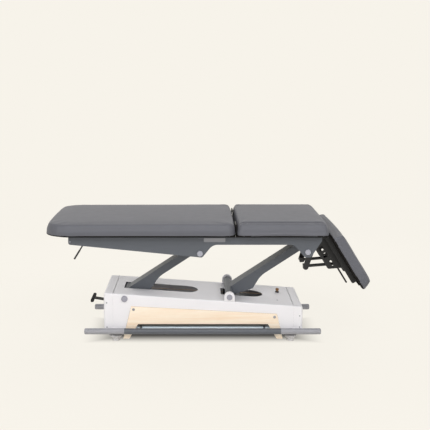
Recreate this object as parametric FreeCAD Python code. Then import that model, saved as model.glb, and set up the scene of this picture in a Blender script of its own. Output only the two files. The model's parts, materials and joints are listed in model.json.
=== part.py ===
import FreeCAD, Part
import math
import os

# Physiotherapy table on a parallelogram lift, in millimetres. X runs along the couch towards the head
# section, Y away from the near side, Z up from the floor. Pieces named near lie at negative Y.

V = FreeCAD.Vector
OVERRUN = 5.0
ALONG_LIMIT = math.radians(5.0)
RUNNING_FIT = 0.05
SEAM = 0.5
PASSING_GAP = 0.3

# Parallelogram lift
ARM_LENGTH = 518.4
ARM_REST_ANGLE = 33.35
LEFT_PIVOT_X = -477.0
LEFT_PIVOT_Z = 250.0
PIVOT_SPACING = 604.0
RIGHT_PIVOT_RISE = 8.0
PIVOT_SHAFT_R = 12.0
HUB_R = 21.0
ARM_WIDTH = 104.0
ARM_WALL = 6.0
ARM_TOP_HUB_WIDTH = 120.0
ARM_TOP_EDGE = 12.0
ARM_BOTTOM_EDGE = 31.0
ARM_END_R = 24.0
ARM_FLARE_DEPTH = 70.0
ARM_HEEL_DEPTH = 32.0
ARM_FLARE_R = 150.0
ARM_FLARE_CORNER_R = 20.0
ARM_FLARE_CORNER_SHARE = 0.24
ARM_FLARE_NECK_SHARE = 0.40
ARM_HEEL_SHARE = 0.03
CRANK_LENGTH = 95.0
CRANK_LEAD_ANGLE = 4.65
CRANK_PLATE_T = 8.0
CRANK_GAP = 24.0
CRANK_R = 18.0
CRANK_PIN_R = 8.0

# Base casing
BASE_LEFT_X = -597.0
BASE_LENGTH = 1146.0
BASE_WIDTH = 405.0
COVER_LEFT_Z = 284.0
COVER_RIGHT_Z = 204.0
COVER_BOTTOM_Z = 45.0
SHEET_T = 2.0
COVER_EDGE_R = 7.0
END_COVER_LENGTH = 52.0
COVER_JOINT = 2.5
END_TOP_R = 16.0
END_SIDE_R = 14.0
SLOT_WIDTH = 136.0
SLOT_CORNER_R = 6.0
LEFT_SLOT_BACK = 14.0
LEFT_SLOT_LENGTH = 436.0
RIGHT_SLOT_BACK = 46.0
RIGHT_SLOT_LENGTH = 250.0

# Birch side panels
PANEL_T = 12.0
PANEL_PROUD = 3.0
PANEL_TOP_LEFT_X = -439.0
PANEL_TOP_LEFT_Z = 205.0
PANEL_TOP_RIGHT_X = 400.0
PANEL_TOP_RIGHT_Z = 160.0
PANEL_FOOT_Z = 14.0
PANEL_LEFT_SPLAY = 46.0
PANEL_RIGHT_SPLAY = 34.0
PANEL_LEG_WIDTH = 31.0
CUTOUT_TOP_Z = 101.0
CUTOUT_SPLAY = 55.0
PANEL_FIT = 0.6
PANEL_SCREW_INSET = 14.0
PANEL_SCREW_DROP = 18.0
PANEL_SCREW_R = 8.0
PANEL_SCREW_T = 3.0

# Small screws of the casing and the frame
SCREW_R = 4.0
SCREW_T = 2.0
COVER_SCREW_LOW_Z = 82.0
COVER_SCREW_DROP = 57.0
TOP_SCREW_X = 410.0
TOP_SCREW_Y = -110.0

# Chassis
RAIL_Y = 135.0
RAIL_W = 30.0
RAIL_BOTTOM_Z = 115.0
RAIL_H = 50.0
RAIL_END_INSET = 22.0
FOOT_INSET = 68.0
FOOT_Y = 180.0
END_BEAM_W = 54.0
END_BEAM_HALF = 194.0
POST_W = 28.0
POST_BOTTOM_Z = 40.0
CHEEK_T = 8.0
CHEEK_W = 64.0
CHEEK_R = 20.0
OUTRIGGER_W = 50.0
PANEL_TAB_W = 30.0
ACTUATOR_BEAM_X = -400.0
MID_BEAM_X = 250.0
CROSS_BEAM_W = 40.0
TRAY_X = 380.0
TRAY_LENGTH = 100.0
TRAY_T = 8.0
HANGER_T = 8.0
GUIDE_PIN_R = 8.0
GUIDE_PIN_Y = 30.0
GUIDE_PIN_TOP_GAP = 2.0

# Feet
FOOT_R = 22.5
FOOT_H = 20.0
FOOT_EDGE = 4.0
FOOT_STEM_R = 8.0
FOOT_COLLAR_R = 37.0
FOOT_COLLAR_T = 12.0
FOOT_COLLAR_RISE = 2.0

# Castors and their carriage
CASTOR_Y = 85.0
CASTOR_LIFT = 8.0
WHEEL_R = 30.0
WHEEL_W = 20.0
WHEEL_EDGE = 4.0
WHEEL_AXLE_R = 4.0
CASTOR_TRAIL = 22.0
FORK_CHEEK_T = 4.0
FORK_CHEEK_W = 20.0
FORK_SIDE_GAP = 1.0
FORK_CROWN_T = 8.0
FORK_CROWN_GAP = 4.0
FORK_PLATE_R = 18.0
FORK_PLATE_T = 8.0
FORK_STEM_R = 6.0
FORK_STEM_LENGTH = 12.0
CARRIAGE_H = 18.0
CARRIAGE_W = 40.0
CARRIAGE_HALF = 125.0
LINK_BAR_W = 24.0

# Castor pedal
PEDAL_PIVOT_IN = 27.0
PEDAL_PIVOT_Z = 180.0
PEDAL_PIN_R = 5.0
PEDAL_LUG_T = 8.0
PEDAL_LUG_R = 10.0
PEDAL_HUB_R = 9.0
PEDAL_REACH = 111.0
PEDAL_RISE = 18.0
PEDAL_BAR_T = 6.0
PEDAL_BAR_H = 9.0
PEDAL_BAR_Y = 11.0
PEDAL_SPAN = 17.0
TREAD_R = 9.0
TREAD_LENGTH = 138.0
TREAD_END_R = 3.0
PEDAL_SLOT_W = 44.0
PEDAL_SLOT_H = 52.0

# Foot-control bars and the polished tubes that they turn on
TUBE_R = 12.0
TUBE_Y = 172.0
TUBE_Z = 66.0
TUBE_LEFT_X = -452.0
TUBE_RIGHT_X = 402.0
BAR_R = 17.0
BAR_Y = 235.0
BAR_Z = 68.0
BAR_LEFT_X = -476.0
BAR_RIGHT_X = 420.0
BAR_END_LENGTH = 229.0
BAR_END_R = 7.0
BAR_BORE_R = 13.0
SPIGOT_LENGTH = 60.0
BAR_LUG_T = 10.0
BAR_LUG_HUB_R = 17.0
BAR_LUG_H = 22.0
BAR_LUG_INSET = 92.0

# Base pivot caps and bearing brackets
LEFT_CAP_R = 18.0
RIGHT_CAP_R = 16.0
CAP_T = 8.0
CAP_EDGE = 2.0
BRACKET_T = 20.0
BRACKET_R = 30.0

# Lift actuator, control box, mains inlet and key switch
ACTUATOR_Z = 168.0
MOTOR_LENGTH = 90.0
MOTOR_H = 40.0
MOTOR_W = 90.0
MOTOR_EDGE_R = 6.0
ACTUATOR_TUBE_R = 16.0
ACTUATOR_TUBE_END = 74.0
ACTUATOR_ROD_R = 9.0
ACTUATOR_ROD_LENGTH = 220.0
YOKE_HALF_LENGTH = 20.0
YOKE_HALF_H = 26.0
YOKE_W = 18.0
YOKE_SLOT_FREE_X = 1.8
YOKE_SLOT_FREE_Z = 9.0
CONTROL_BOX_LENGTH = 88.0
CONTROL_BOX_W = 160.0
CONTROL_BOX_H = 34.0
CONTROL_BOX_EDGE_R = 4.0
INLET_Y = 80.0
INLET_Z = 90.0
INLET_W = 48.0
INLET_H = 26.0
INLET_DEPTH = 24.0
INLET_FLANGE = 4.0
INLET_FLANGE_T = 3.0
INLET_WALL = 3.0
INLET_POCKET = 16.0
KEY_X = 426.0
KEY_Y = 60.0
KEY_BARREL_R = 12.0
KEY_BARREL_H = 6.0
KEYWAY_LENGTH = 9.0
KEY_T = 2.0
KEY_BLADE_W = 7.0
KEY_BOW_W = 20.0
KEY_BOW_H = 16.0
KEY_NECK = 4.0
KEY_BLADE_DEPTH = 4.0
KEY_BOW_R = 5.0

# Top frame
FRAME_ABOVE_PIVOT = 97.0
SIDE_PLATE_Y = 290.0
SIDE_PLATE_T = 6.0
PLATE_LEFT_REACH = 735.0
PLATE_RIGHT_REACH = 682.0
PLATE_END_DEPTH = 46.0
PLATE_STRIP_DEPTH = 47.0
PLATE_CORNER_R = 12.0
BOSS_R = 22.0
BOSS_DROP = 23.0
BOSS_CORNER = 13.0
BOSS_CORNER_R = 16.0
S_CURVE_RUN = 72.0
S_CURVE_R = 58.0
ARCH_RUN = 76.0
ARCH_R = 48.0
RIGHT_BOSS_HALF = 17.0
RIGHT_BOSS_DROP = 30.0
RIGHT_EDGE_DEPTH = 24.0
RIGHT_EDGE_R = 18.0
UPPER_CAP_R = 16.0
UPPER_CAP_T = 7.0
PLATE_SCREW_INSET = 10.0
PLATE_SCREW_DROP = 30.0
BARE_PLATE_X = 22.0
BARE_PLATE_LENGTH = 120.0
BARE_PLATE_H = 22.0
BARE_PLATE_DROP = 9.0
BARE_PLATE_T = 1.0
BARE_PLATE_R = 4.0
CROSS_W = 30.0
CROSS_H = 20.0
CROSS_DROP = 22.0
LEFT_CROSS_INSET = 130.0
SPRING_CROSS_X = 520.0
SPRING_CROSS_DROP = 30.0
SPRING_CROSS_H = 16.0
LONG_CROSS_X = -266.0
RIGHT_CROSS_INSET = 34.0

# Couch top
COUCH_WIDTH = 690.0
CUSHION_T = 68.0
HEAD_CUSHION_T = 58.0
BOARD_T = 6.0
LONG_LENGTH = 1062.0
MID_OVERHANG = 34.0
HEAD_LENGTH = 351.0
CUSHION_GAP = 12.0
LONG_HINGE_X = 202.0
LONG_THINNING = 8.0
LONG_CORNER_R = 135.0
LONG_INNER_CORNER_R = 64.0
MID_CORNER_R = 42.0
HEAD_CORNER_R = 70.0
HEAD_INNER_CORNER_R = 18.0
CUSHION_CROWN = 10.0
CUSHION_RISE = 6.0
CUSHION_EDGE_SHARE = 0.58
CUSHION_BULGE = 5.0
CUSHION_TOP_INSET = 24.0
CUSHION_DRAW_IN = 3.0
END_ROLL = 21.0
LONG_END_ROLL = 26.0
HEAD_END_ROLL = 34.0
SEWN_LINE_INSET = 62.0
SEWN_LINE_DEPTH = 4.0
BOARD_INSET = 30.0
LONG_BOARD_END_INSET = 34.0
BOARD_HINGE_INSET = 1.0
MID_BOARD_LIP = 7.5
HINGE_NOTCH_GAP = 1.0
CUSHION_SEAT_GAP = 0.3

# Long section hinge, subframe, gas spring and release lever
HINGE_DROP = 14.0
LEAF_T = 2.4
LEAF_FLANGE = 4.2
KNUCKLE_R = 4.5
HINGE_PIN_R = 2.5
HINGE_Y = 220.0
HINGE_LENGTH = 90.0
KNUCKLE_GAP = 0.4
SUB_RAIL_Y = 207.0
SUB_RAIL_W = 26.0
SUB_RAIL_H = 20.0
SUB_LEFT_INSET = 94.0
SUB_RIGHT_INSET = 2.0
SUB_TIE_W = 30.0
SUB_TIE_H = 14.0
SUB_SPRING_TIE_INSET = 34.0
SPRING_LUG_GAP = 20.0
SPRING_LUG_T = 6.0
SPRING_LUG_R = 9.0
SPRING_PIN_R = 5.0
SPRING_FOOT_LEAD = 26.0
SPRING_CRANK_LEAD = 20.0
SPRING_CRANK_DROP = 82.0
SPRING_EYE_R = 9.0
SPRING_EYE_W = 14.0
SPRING_LOOSE = 8.0
SPRING_LOOSE_WALL = 4.0
SPRING_TUBE_R = 11.0
SPRING_TUBE_START = 16.0
SPRING_TUBE_LENGTH = 180.0
SPRING_ROD_R = 4.0
SPRING_ROD_IN = 236.0
LONG_LEVER_X = -630.0
LONG_LEVER_Y = -250.0
LONG_LEVER_LENGTH = 150.0
LONG_LEVER_ANGLE = 31.6
LEVER_ROD_R = 4.0
LEVER_HUB_R = 8.0
LEVER_HUB_W = 16.0
LEVER_PIN_R = 4.0
LEVER_GRIP_R = 5.0
LEVER_GRIP_LENGTH = 60.0

# Head section
HEAD_DROOP = 58.5
HEAD_HINGE_LEAD = 3.0
HEAD_HINGE_DROP = 3.0
HEAD_LUG_R = 8.0
HEAD_PIN_R = 4.0
HEAD_BOARD_LEAD = 14.0
HEAD_RAIL_Y = 230.0
HEAD_RAIL_T = 12.0
HEAD_RAIL_H = 24.0
HEAD_RAIL_LENGTH = 318.0
STRUT_LUG_Y = 94.0
STRUT_LUG_T = 12.0
STRUT_LUG_H = 28.0
STRUT_LUG_START = 190.0
STRUT_LUG_END = 276.0
HEAD_RAIL_CORNER_R = 10.0
HEAD_CHEEK_Y = 150.0
HEAD_CHEEK_T = 6.0
HEAD_CHEEK_START = 26.0
HEAD_CHEEK_END = 232.0
HEAD_CHEEK_DEPTH = 98.0
HEAD_CHEEK_SHALLOW = 28.0
HEAD_CHEEK_LEAD = 36.0
HEAD_CHEEK_CORNER_R = 14.0
HEAD_WINDOW_S = 74.0
HEAD_WINDOW_PITCH = 44.0
HEAD_WINDOW_W = 28.0
HEAD_WINDOW_TOP = 56.0
HEAD_WINDOW_R = 5.0
HEAD_SLOT_START = 160.0
HEAD_SLOT_END = 196.0
HEAD_SLOT_H = 12.0
HEAD_TIE_W = 24.0
HEAD_TIE_H = 18.0
HEAD_TIE_A = 60.0
HEAD_TIE_B = 264.0
HANGER_PLATE_T = 8.0
HANGER_SIDE_GAP = 1.0
HANGER_ARM_W = 26.0
HANGER_EDGE_R = 16.0
HANGER_NECK_DROP = 40.0
STRUT_FOOT_BACK = 100.0
STRUT_FOOT_DROP = 221.0
STRUT_Y = 78.0
STRUT_TUBE_R = 9.0
STRUT_ROD_R = 5.0
STRUT_TUBE_REACH = 184.0
STRUT_COLLAR_AT = 133.0
STRUT_COLLAR_R = 12.0
STRUT_COLLAR_W = 17.0
STRUT_END_WALL = 4.0
TRUNNION_W = 28.0
TRUNNION_H = 26.0
TRUNNION_PIN_R = 7.0
TRUNNION_DEPTH = 5.5
STRUT_HEAD_S = 225.0
STRUT_HEAD_N = -18.0
STRUT_PIN_R = 5.0
STRUT_LOOSE = 7.5
STRUT_EYE_WALL = 4.0
STRUT_EYE_W = 12.0
STRUT_PIN_PAST = 2.0
HEAD_LEVER_S = 203.0
HEAD_LEVER_N = -14.0
HEAD_LEVER_Y = -118.0
HEAD_LEVER_BEND_S = 222.0
HEAD_LEVER_END_S = 330.0
HEAD_LEVER_OFFSET = 43.0
HEAD_LEVER_R = 5.0
HEAD_LEVER_HUB_W = 12.0

# Places worked out from the driving dimensions
ARM_DX = ARM_LENGTH * math.cos(math.radians(ARM_REST_ANGLE))
ARM_DZ = ARM_LENGTH * math.sin(math.radians(ARM_REST_ANGLE))
RIGHT_PIVOT_X = LEFT_PIVOT_X + PIVOT_SPACING
RIGHT_PIVOT_Z = LEFT_PIVOT_Z + RIGHT_PIVOT_RISE
TOP_LEFT_X = LEFT_PIVOT_X + ARM_DX
TOP_LEFT_Z = LEFT_PIVOT_Z + ARM_DZ
TOP_RIGHT_X = RIGHT_PIVOT_X + ARM_DX
TOP_RIGHT_Z = RIGHT_PIVOT_Z + ARM_DZ
FRAME_Z = TOP_LEFT_Z + FRAME_ABOVE_PIVOT
BOARD_Z = FRAME_Z + BOARD_T
COUCH_Z = BOARD_Z + CUSHION_T
BASE_RIGHT_X = BASE_LEFT_X + BASE_LENGTH
BASE_HALF = BASE_WIDTH / 2
COUCH_HALF = COUCH_WIDTH / 2
LEFT_FOOT_X = BASE_LEFT_X + FOOT_INSET
RIGHT_FOOT_X = BASE_RIGHT_X - FOOT_INSET
RAIL_TOP_Z = RAIL_BOTTOM_Z + RAIL_H
RAIL_IN = RAIL_Y - RAIL_W / 2
RAIL_OUT = RAIL_Y + RAIL_W / 2
PANEL_IN = BASE_HALF + PANEL_PROUD - PANEL_T
PANEL_OUT = BASE_HALF + PANEL_PROUD
HINGE_AXIS_X = TOP_LEFT_X + LONG_HINGE_X
HINGE_AXIS_Z = COUCH_Z - HINGE_DROP
LONG_RIGHT_X = HINGE_AXIS_X - CUSHION_GAP / 2
LONG_LEFT_X = LONG_RIGHT_X - LONG_LENGTH
MID_LEFT_X = HINGE_AXIS_X + CUSHION_GAP / 2
PLATE_LEFT_X = TOP_LEFT_X - PLATE_LEFT_REACH
PLATE_RIGHT_X = TOP_LEFT_X + PLATE_RIGHT_REACH
MID_RIGHT_X = PLATE_RIGHT_X + MID_OVERHANG
HEAD_HINGE_X = MID_RIGHT_X + HEAD_HINGE_LEAD
HEAD_HINGE_Z = FRAME_Z - HEAD_HINGE_DROP
HEAD_LEFT_X = MID_RIGHT_X + CUSHION_GAP
PLATE_IN = SIDE_PLATE_Y - SIDE_PLATE_T
RIGHT_CROSS_X = PLATE_RIGHT_X - RIGHT_CROSS_INSET
WHEEL_Z = WHEEL_R + CASTOR_LIFT
CROWN_Z = WHEEL_Z + WHEEL_R + FORK_CROWN_GAP
CARRIAGE_Z = CROWN_Z + FORK_CROWN_T + FORK_PLATE_T + PASSING_GAP
STRUT_FOOT = (HEAD_HINGE_X - STRUT_FOOT_BACK, FRAME_Z - STRUT_FOOT_DROP)
PEDAL_PIVOT_X = BASE_LEFT_X + PEDAL_PIVOT_IN
SPRING_BEAM_X = TOP_LEFT_X + SPRING_CROSS_X
SPRING_BEAM_Z = FRAME_Z - SPRING_CROSS_DROP
SPRING_FOOT = (SPRING_BEAM_X - SPRING_FOOT_LEAD, SPRING_BEAM_Z)
SPRING_HEAD = (HINGE_AXIS_X + SPRING_CRANK_LEAD, HINGE_AXIS_Z - SPRING_CRANK_DROP)


# Plain shapes
def box(x0, x1, y0, y1, z0, z1):
    return Part.makeBox(x1 - x0, y1 - y0, z1 - z0, V(x0, y0, z0))


def rod_x(y, z, x0, x1, radius):
    return Part.makeCylinder(radius, x1 - x0, V(x0, y, z), V(1, 0, 0))


def rod_y(x, z, y0, y1, radius):
    return Part.makeCylinder(radius, y1 - y0, V(x, y0, z), V(0, 1, 0))


def rod_z(x, y, z0, z1, radius):
    return Part.makeCylinder(radius, z1 - z0, V(x, y, z0), V(0, 0, 1))


def rod_between(start, end, radius):
    return Part.makeCylinder(radius, (end - start).Length, start, end - start)


def rounded_wire(points):
    """Closed wire in the XZ plane through (x, z, corner radius) points."""
    count = len(points)
    spans = []
    for i in range(count):
        x, z, radius = points[i]
        corner = V(x, 0, z)
        before = V(points[i - 1][0], 0, points[i - 1][1]) - corner
        after = V(points[(i + 1) % count][0], 0, points[(i + 1) % count][1]) - corner
        before.normalize()
        after.normalize()
        if radius == 0:
            spans.append((corner, None, corner))
            continue
        half = before.getAngle(after) / 2
        reach = radius / math.tan(half)
        bisector = before + after
        bisector.normalize()
        middle = corner + bisector * (radius / math.sin(half) - radius)
        spans.append((corner + before * reach, middle, corner + after * reach))
    edges = []
    for i in range(count):
        start, middle, end = spans[i]
        if middle is not None:
            edges.append(Part.Arc(start, middle, end).toShape())
        edges.append(Part.LineSegment(end, spans[(i + 1) % count][0]).toShape())
    return Part.Wire(edges)


def plate(points, y0, y1):
    """Plate with an XZ outline of (x, z, corner radius) points, from y0 to y1."""
    shape = Part.Face(rounded_wire(points)).extrude(V(0, y1 - y0, 0))
    shape.translate(V(0, y0, 0))
    return shape


def join(*shapes):
    return shapes[0].fuse(list(shapes[1:])).removeSplitter()


def far_copy(shape):
    return shape.mirror(V(0, 0, 0), V(0, 1, 0))


def both_sides(shape):
    """The far-side shape given and its near-side twin, as separate solids."""
    return Part.makeCompound([shape, far_copy(shape)])


def edges_along(shape, axis, test):
    """Straight edges of a shape along an axis whose middle passes the test."""
    found = []
    for edge in shape.Edges:
        ends = [v.Point for v in edge.Vertexes]
        if len(ends) == 2 and abs((ends[1] - ends[0]).normalize().dot(axis)) > math.cos(ALONG_LIMIT):
            if test((ends[0] + ends[1]) / 2):
                found.append(edge)
    return found


def capped_rod_y(x, z, y0, y1, radius, edge, outward):
    """Round cap along Y with its outer rim bevelled; outward is 1 or -1."""
    flat = Part.makeCylinder(radius, y1 - y0, V(x, y0, z), V(0, 1, 0))
    rim_y = y1 if outward > 0 else y0
    rims = [e for e in flat.Edges
            if abs(e.BoundBox.YMin - rim_y) < edge and abs(e.BoundBox.YMax - rim_y) < edge]
    return flat.makeChamfer(edge, [rims[0]])


def cover_z(x):
    """Height of the sloping top of the base casing."""
    return COVER_LEFT_Z + (COVER_RIGHT_Z - COVER_LEFT_Z) * (x - BASE_LEFT_X) / BASE_LENGTH


# Base casing
def casing_block(x0, x1, half, top_drop, bottom, edge_r):
    """Solid block under the sloping top, its two long top edges rounded."""
    outline = [(x0, bottom, 0), (x1, bottom, 0),
               (x1, cover_z(x1) - top_drop, 0), (x0, cover_z(x0) - top_drop, 0)]
    block = plate(outline, -half, half)
    long_edges = edges_along(block, V(1, 0, 0), lambda p: p.z > (bottom + cover_z(p.x)) / 2)
    return block.makeFillet(edge_r, long_edges)


def slot_cut(x0, length):
    """Arm slot with a square left end and a round right end."""
    half = SLOT_WIDTH / 2
    straight = box(x0, x0 + length - half, -half, half, RAIL_TOP_Z, COVER_LEFT_Z + OVERRUN)
    corners = edges_along(straight, V(0, 0, 1), lambda p: p.x < x0 + OVERRUN)
    straight = straight.makeFillet(SLOT_CORNER_R, corners)
    return straight.fuse(rod_z(x0 + length - half, 0, RAIL_TOP_Z, COVER_LEFT_Z + OVERRUN, half))


def panel_outline(grow):
    """Outer outline of the birch panel, grown for its opening in the casing."""
    return [
        (PANEL_TOP_LEFT_X - grow, PANEL_TOP_LEFT_Z + grow, 0),
        (PANEL_TOP_RIGHT_X + grow, PANEL_TOP_RIGHT_Z + grow, 0),
        (PANEL_TOP_RIGHT_X + PANEL_RIGHT_SPLAY + grow, PANEL_FOOT_Z, 0),
        (PANEL_TOP_LEFT_X - PANEL_LEFT_SPLAY - grow, PANEL_FOOT_Z, 0),
    ]


def base_cover():
    """Folded sheet with the two arm slots; its top stops short of the end covers in an open joint."""
    x0 = BASE_LEFT_X + END_COVER_LENGTH + SEAM
    x1 = BASE_RIGHT_X - END_COVER_LENGTH - SEAM
    outer = casing_block(x0, x1, BASE_HALF, 0, COVER_BOTTOM_Z, COVER_EDGE_R)
    inner = casing_block(x0 - OVERRUN, x1 + OVERRUN, BASE_HALF - SHEET_T, SHEET_T,
                         COVER_BOTTOM_Z - OVERRUN, COVER_EDGE_R - SHEET_T)
    shell = outer.cut(inner)
    shell = shell.cut(slot_cut(LEFT_PIVOT_X - LEFT_SLOT_BACK, LEFT_SLOT_LENGTH))
    shell = shell.cut(slot_cut(RIGHT_PIVOT_X - RIGHT_SLOT_BACK, RIGHT_SLOT_LENGTH))
    shell = shell.cut(plate(panel_outline(PANEL_FIT), -BASE_HALF - OVERRUN, BASE_HALF + OVERRUN))
    joint_half = BASE_HALF - COVER_EDGE_R
    for j0, j1 in ((x0 - OVERRUN, x0 + COVER_JOINT), (x1 - COVER_JOINT, x1 + OVERRUN)):
        shell = shell.cut(box(j0, j1, -joint_half, joint_half, COVER_BOTTOM_Z, COVER_LEFT_Z + OVERRUN))
    shaft_hole = rod_y(LEFT_PIVOT_X, LEFT_PIVOT_Z, -BASE_WIDTH, BASE_WIDTH, PIVOT_SHAFT_R + PASSING_GAP)
    return shell.cut(shaft_hole).removeSplitter()


def end_cover(x_end, x_seam):
    """Closed cap over one end of the casing, rounded at its top and its corners."""
    outward = 1 if x_end > x_seam else -1
    low, high = sorted((x_end, x_seam))
    outer = casing_block(low, high, BASE_HALF, 0, COVER_BOTTOM_Z, COVER_EDGE_R)
    corners = edges_along(outer, V(0, 0, 1), lambda p: abs(p.x - x_end) < SEAM)
    outer = outer.makeFillet(END_SIDE_R, corners)
    top = [e for e in outer.Edges
           if abs(e.BoundBox.XMin - x_end) < SEAM and abs(e.BoundBox.XMax - x_end) < SEAM
           and e.BoundBox.ZMin > cover_z(x_end) - COVER_EDGE_R and e.BoundBox.YLength > BASE_HALF]
    rounded = outer
    if top:
        rounded = outer.makeChamfer(END_TOP_R / 2, top)
    inner_low = low + SHEET_T if outward < 0 else low - OVERRUN
    inner_high = high - SHEET_T if outward > 0 else high + OVERRUN
    inner = casing_block(inner_low, inner_high, BASE_HALF - SHEET_T, END_TOP_R / 2 + SHEET_T,
                         COVER_BOTTOM_Z - OVERRUN, COVER_EDGE_R - SHEET_T)
    inner_end = inner_high if outward > 0 else inner_low
    inner = inner.makeFillet(END_SIDE_R - SHEET_T,
                             edges_along(inner, V(0, 0, 1), lambda p: abs(p.x - inner_end) < SEAM))
    return rounded.cut(inner)


def left_end_cover():
    shell = end_cover(BASE_LEFT_X, BASE_LEFT_X + END_COVER_LENGTH)
    z0 = PEDAL_PIVOT_Z - PEDAL_SLOT_H / 2
    slot = box(BASE_LEFT_X - OVERRUN, BASE_LEFT_X + SHEET_T + OVERRUN,
               -PEDAL_SLOT_W / 2, PEDAL_SLOT_W / 2, z0, z0 + PEDAL_SLOT_H)
    return shell.cut(slot)


def right_end_cover():
    shell = end_cover(BASE_RIGHT_X, BASE_RIGHT_X - END_COVER_LENGTH)
    hole = box(BASE_RIGHT_X - SHEET_T - OVERRUN, BASE_RIGHT_X + OVERRUN,
               INLET_Y - INLET_W / 2 - PASSING_GAP, INLET_Y + INLET_W / 2 + PASSING_GAP,
               INLET_Z - INLET_H / 2 - PASSING_GAP, INLET_Z + INLET_H / 2 + PASSING_GAP)
    return shell.cut(hole)


def birch_panel():
    """Far panel: a splayed board with a cut-out between its two feet."""
    board = plate(panel_outline(0), PANEL_IN, PANEL_OUT)
    foot_left = PANEL_TOP_LEFT_X - PANEL_LEFT_SPLAY + PANEL_LEG_WIDTH
    foot_right = PANEL_TOP_RIGHT_X + PANEL_RIGHT_SPLAY - PANEL_LEG_WIDTH
    opening = [
        (foot_left, PANEL_FOOT_Z - OVERRUN, 0),
        (foot_right, PANEL_FOOT_Z - OVERRUN, 0),
        (foot_right - CUTOUT_SPLAY, CUTOUT_TOP_Z, 0),
        (foot_left + CUTOUT_SPLAY, CUTOUT_TOP_Z, 0),
    ]
    return board.cut(plate(opening, PANEL_IN - OVERRUN, PANEL_OUT + OVERRUN))


def panel_screw_places():
    return [(PANEL_TOP_LEFT_X + PANEL_SCREW_INSET, PANEL_TOP_LEFT_Z - PANEL_SCREW_DROP),
            (PANEL_TOP_RIGHT_X - PANEL_SCREW_INSET, PANEL_TOP_RIGHT_Z - PANEL_SCREW_DROP)]


def casing_screws():
    solids = []
    for x, z in panel_screw_places():
        solids.append(rod_y(x, z, PANEL_OUT, PANEL_OUT + PANEL_SCREW_T, PANEL_SCREW_R))
    for x in (BASE_LEFT_X + END_SIDE_R + SCREW_R, BASE_RIGHT_X - END_SIDE_R - SCREW_R):
        for z in (COVER_SCREW_LOW_Z, cover_z(x) - COVER_SCREW_DROP):
            solids.append(rod_y(x, z, BASE_HALF, BASE_HALF + SCREW_T, SCREW_R))
    twins = [far_copy(s) for s in solids]
    top_screw = on_cover(rod_z(0, 0, 0, SCREW_T, SCREW_R), TOP_SCREW_X, TOP_SCREW_Y)
    return Part.makeCompound(solids + twins + [top_screw])


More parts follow.
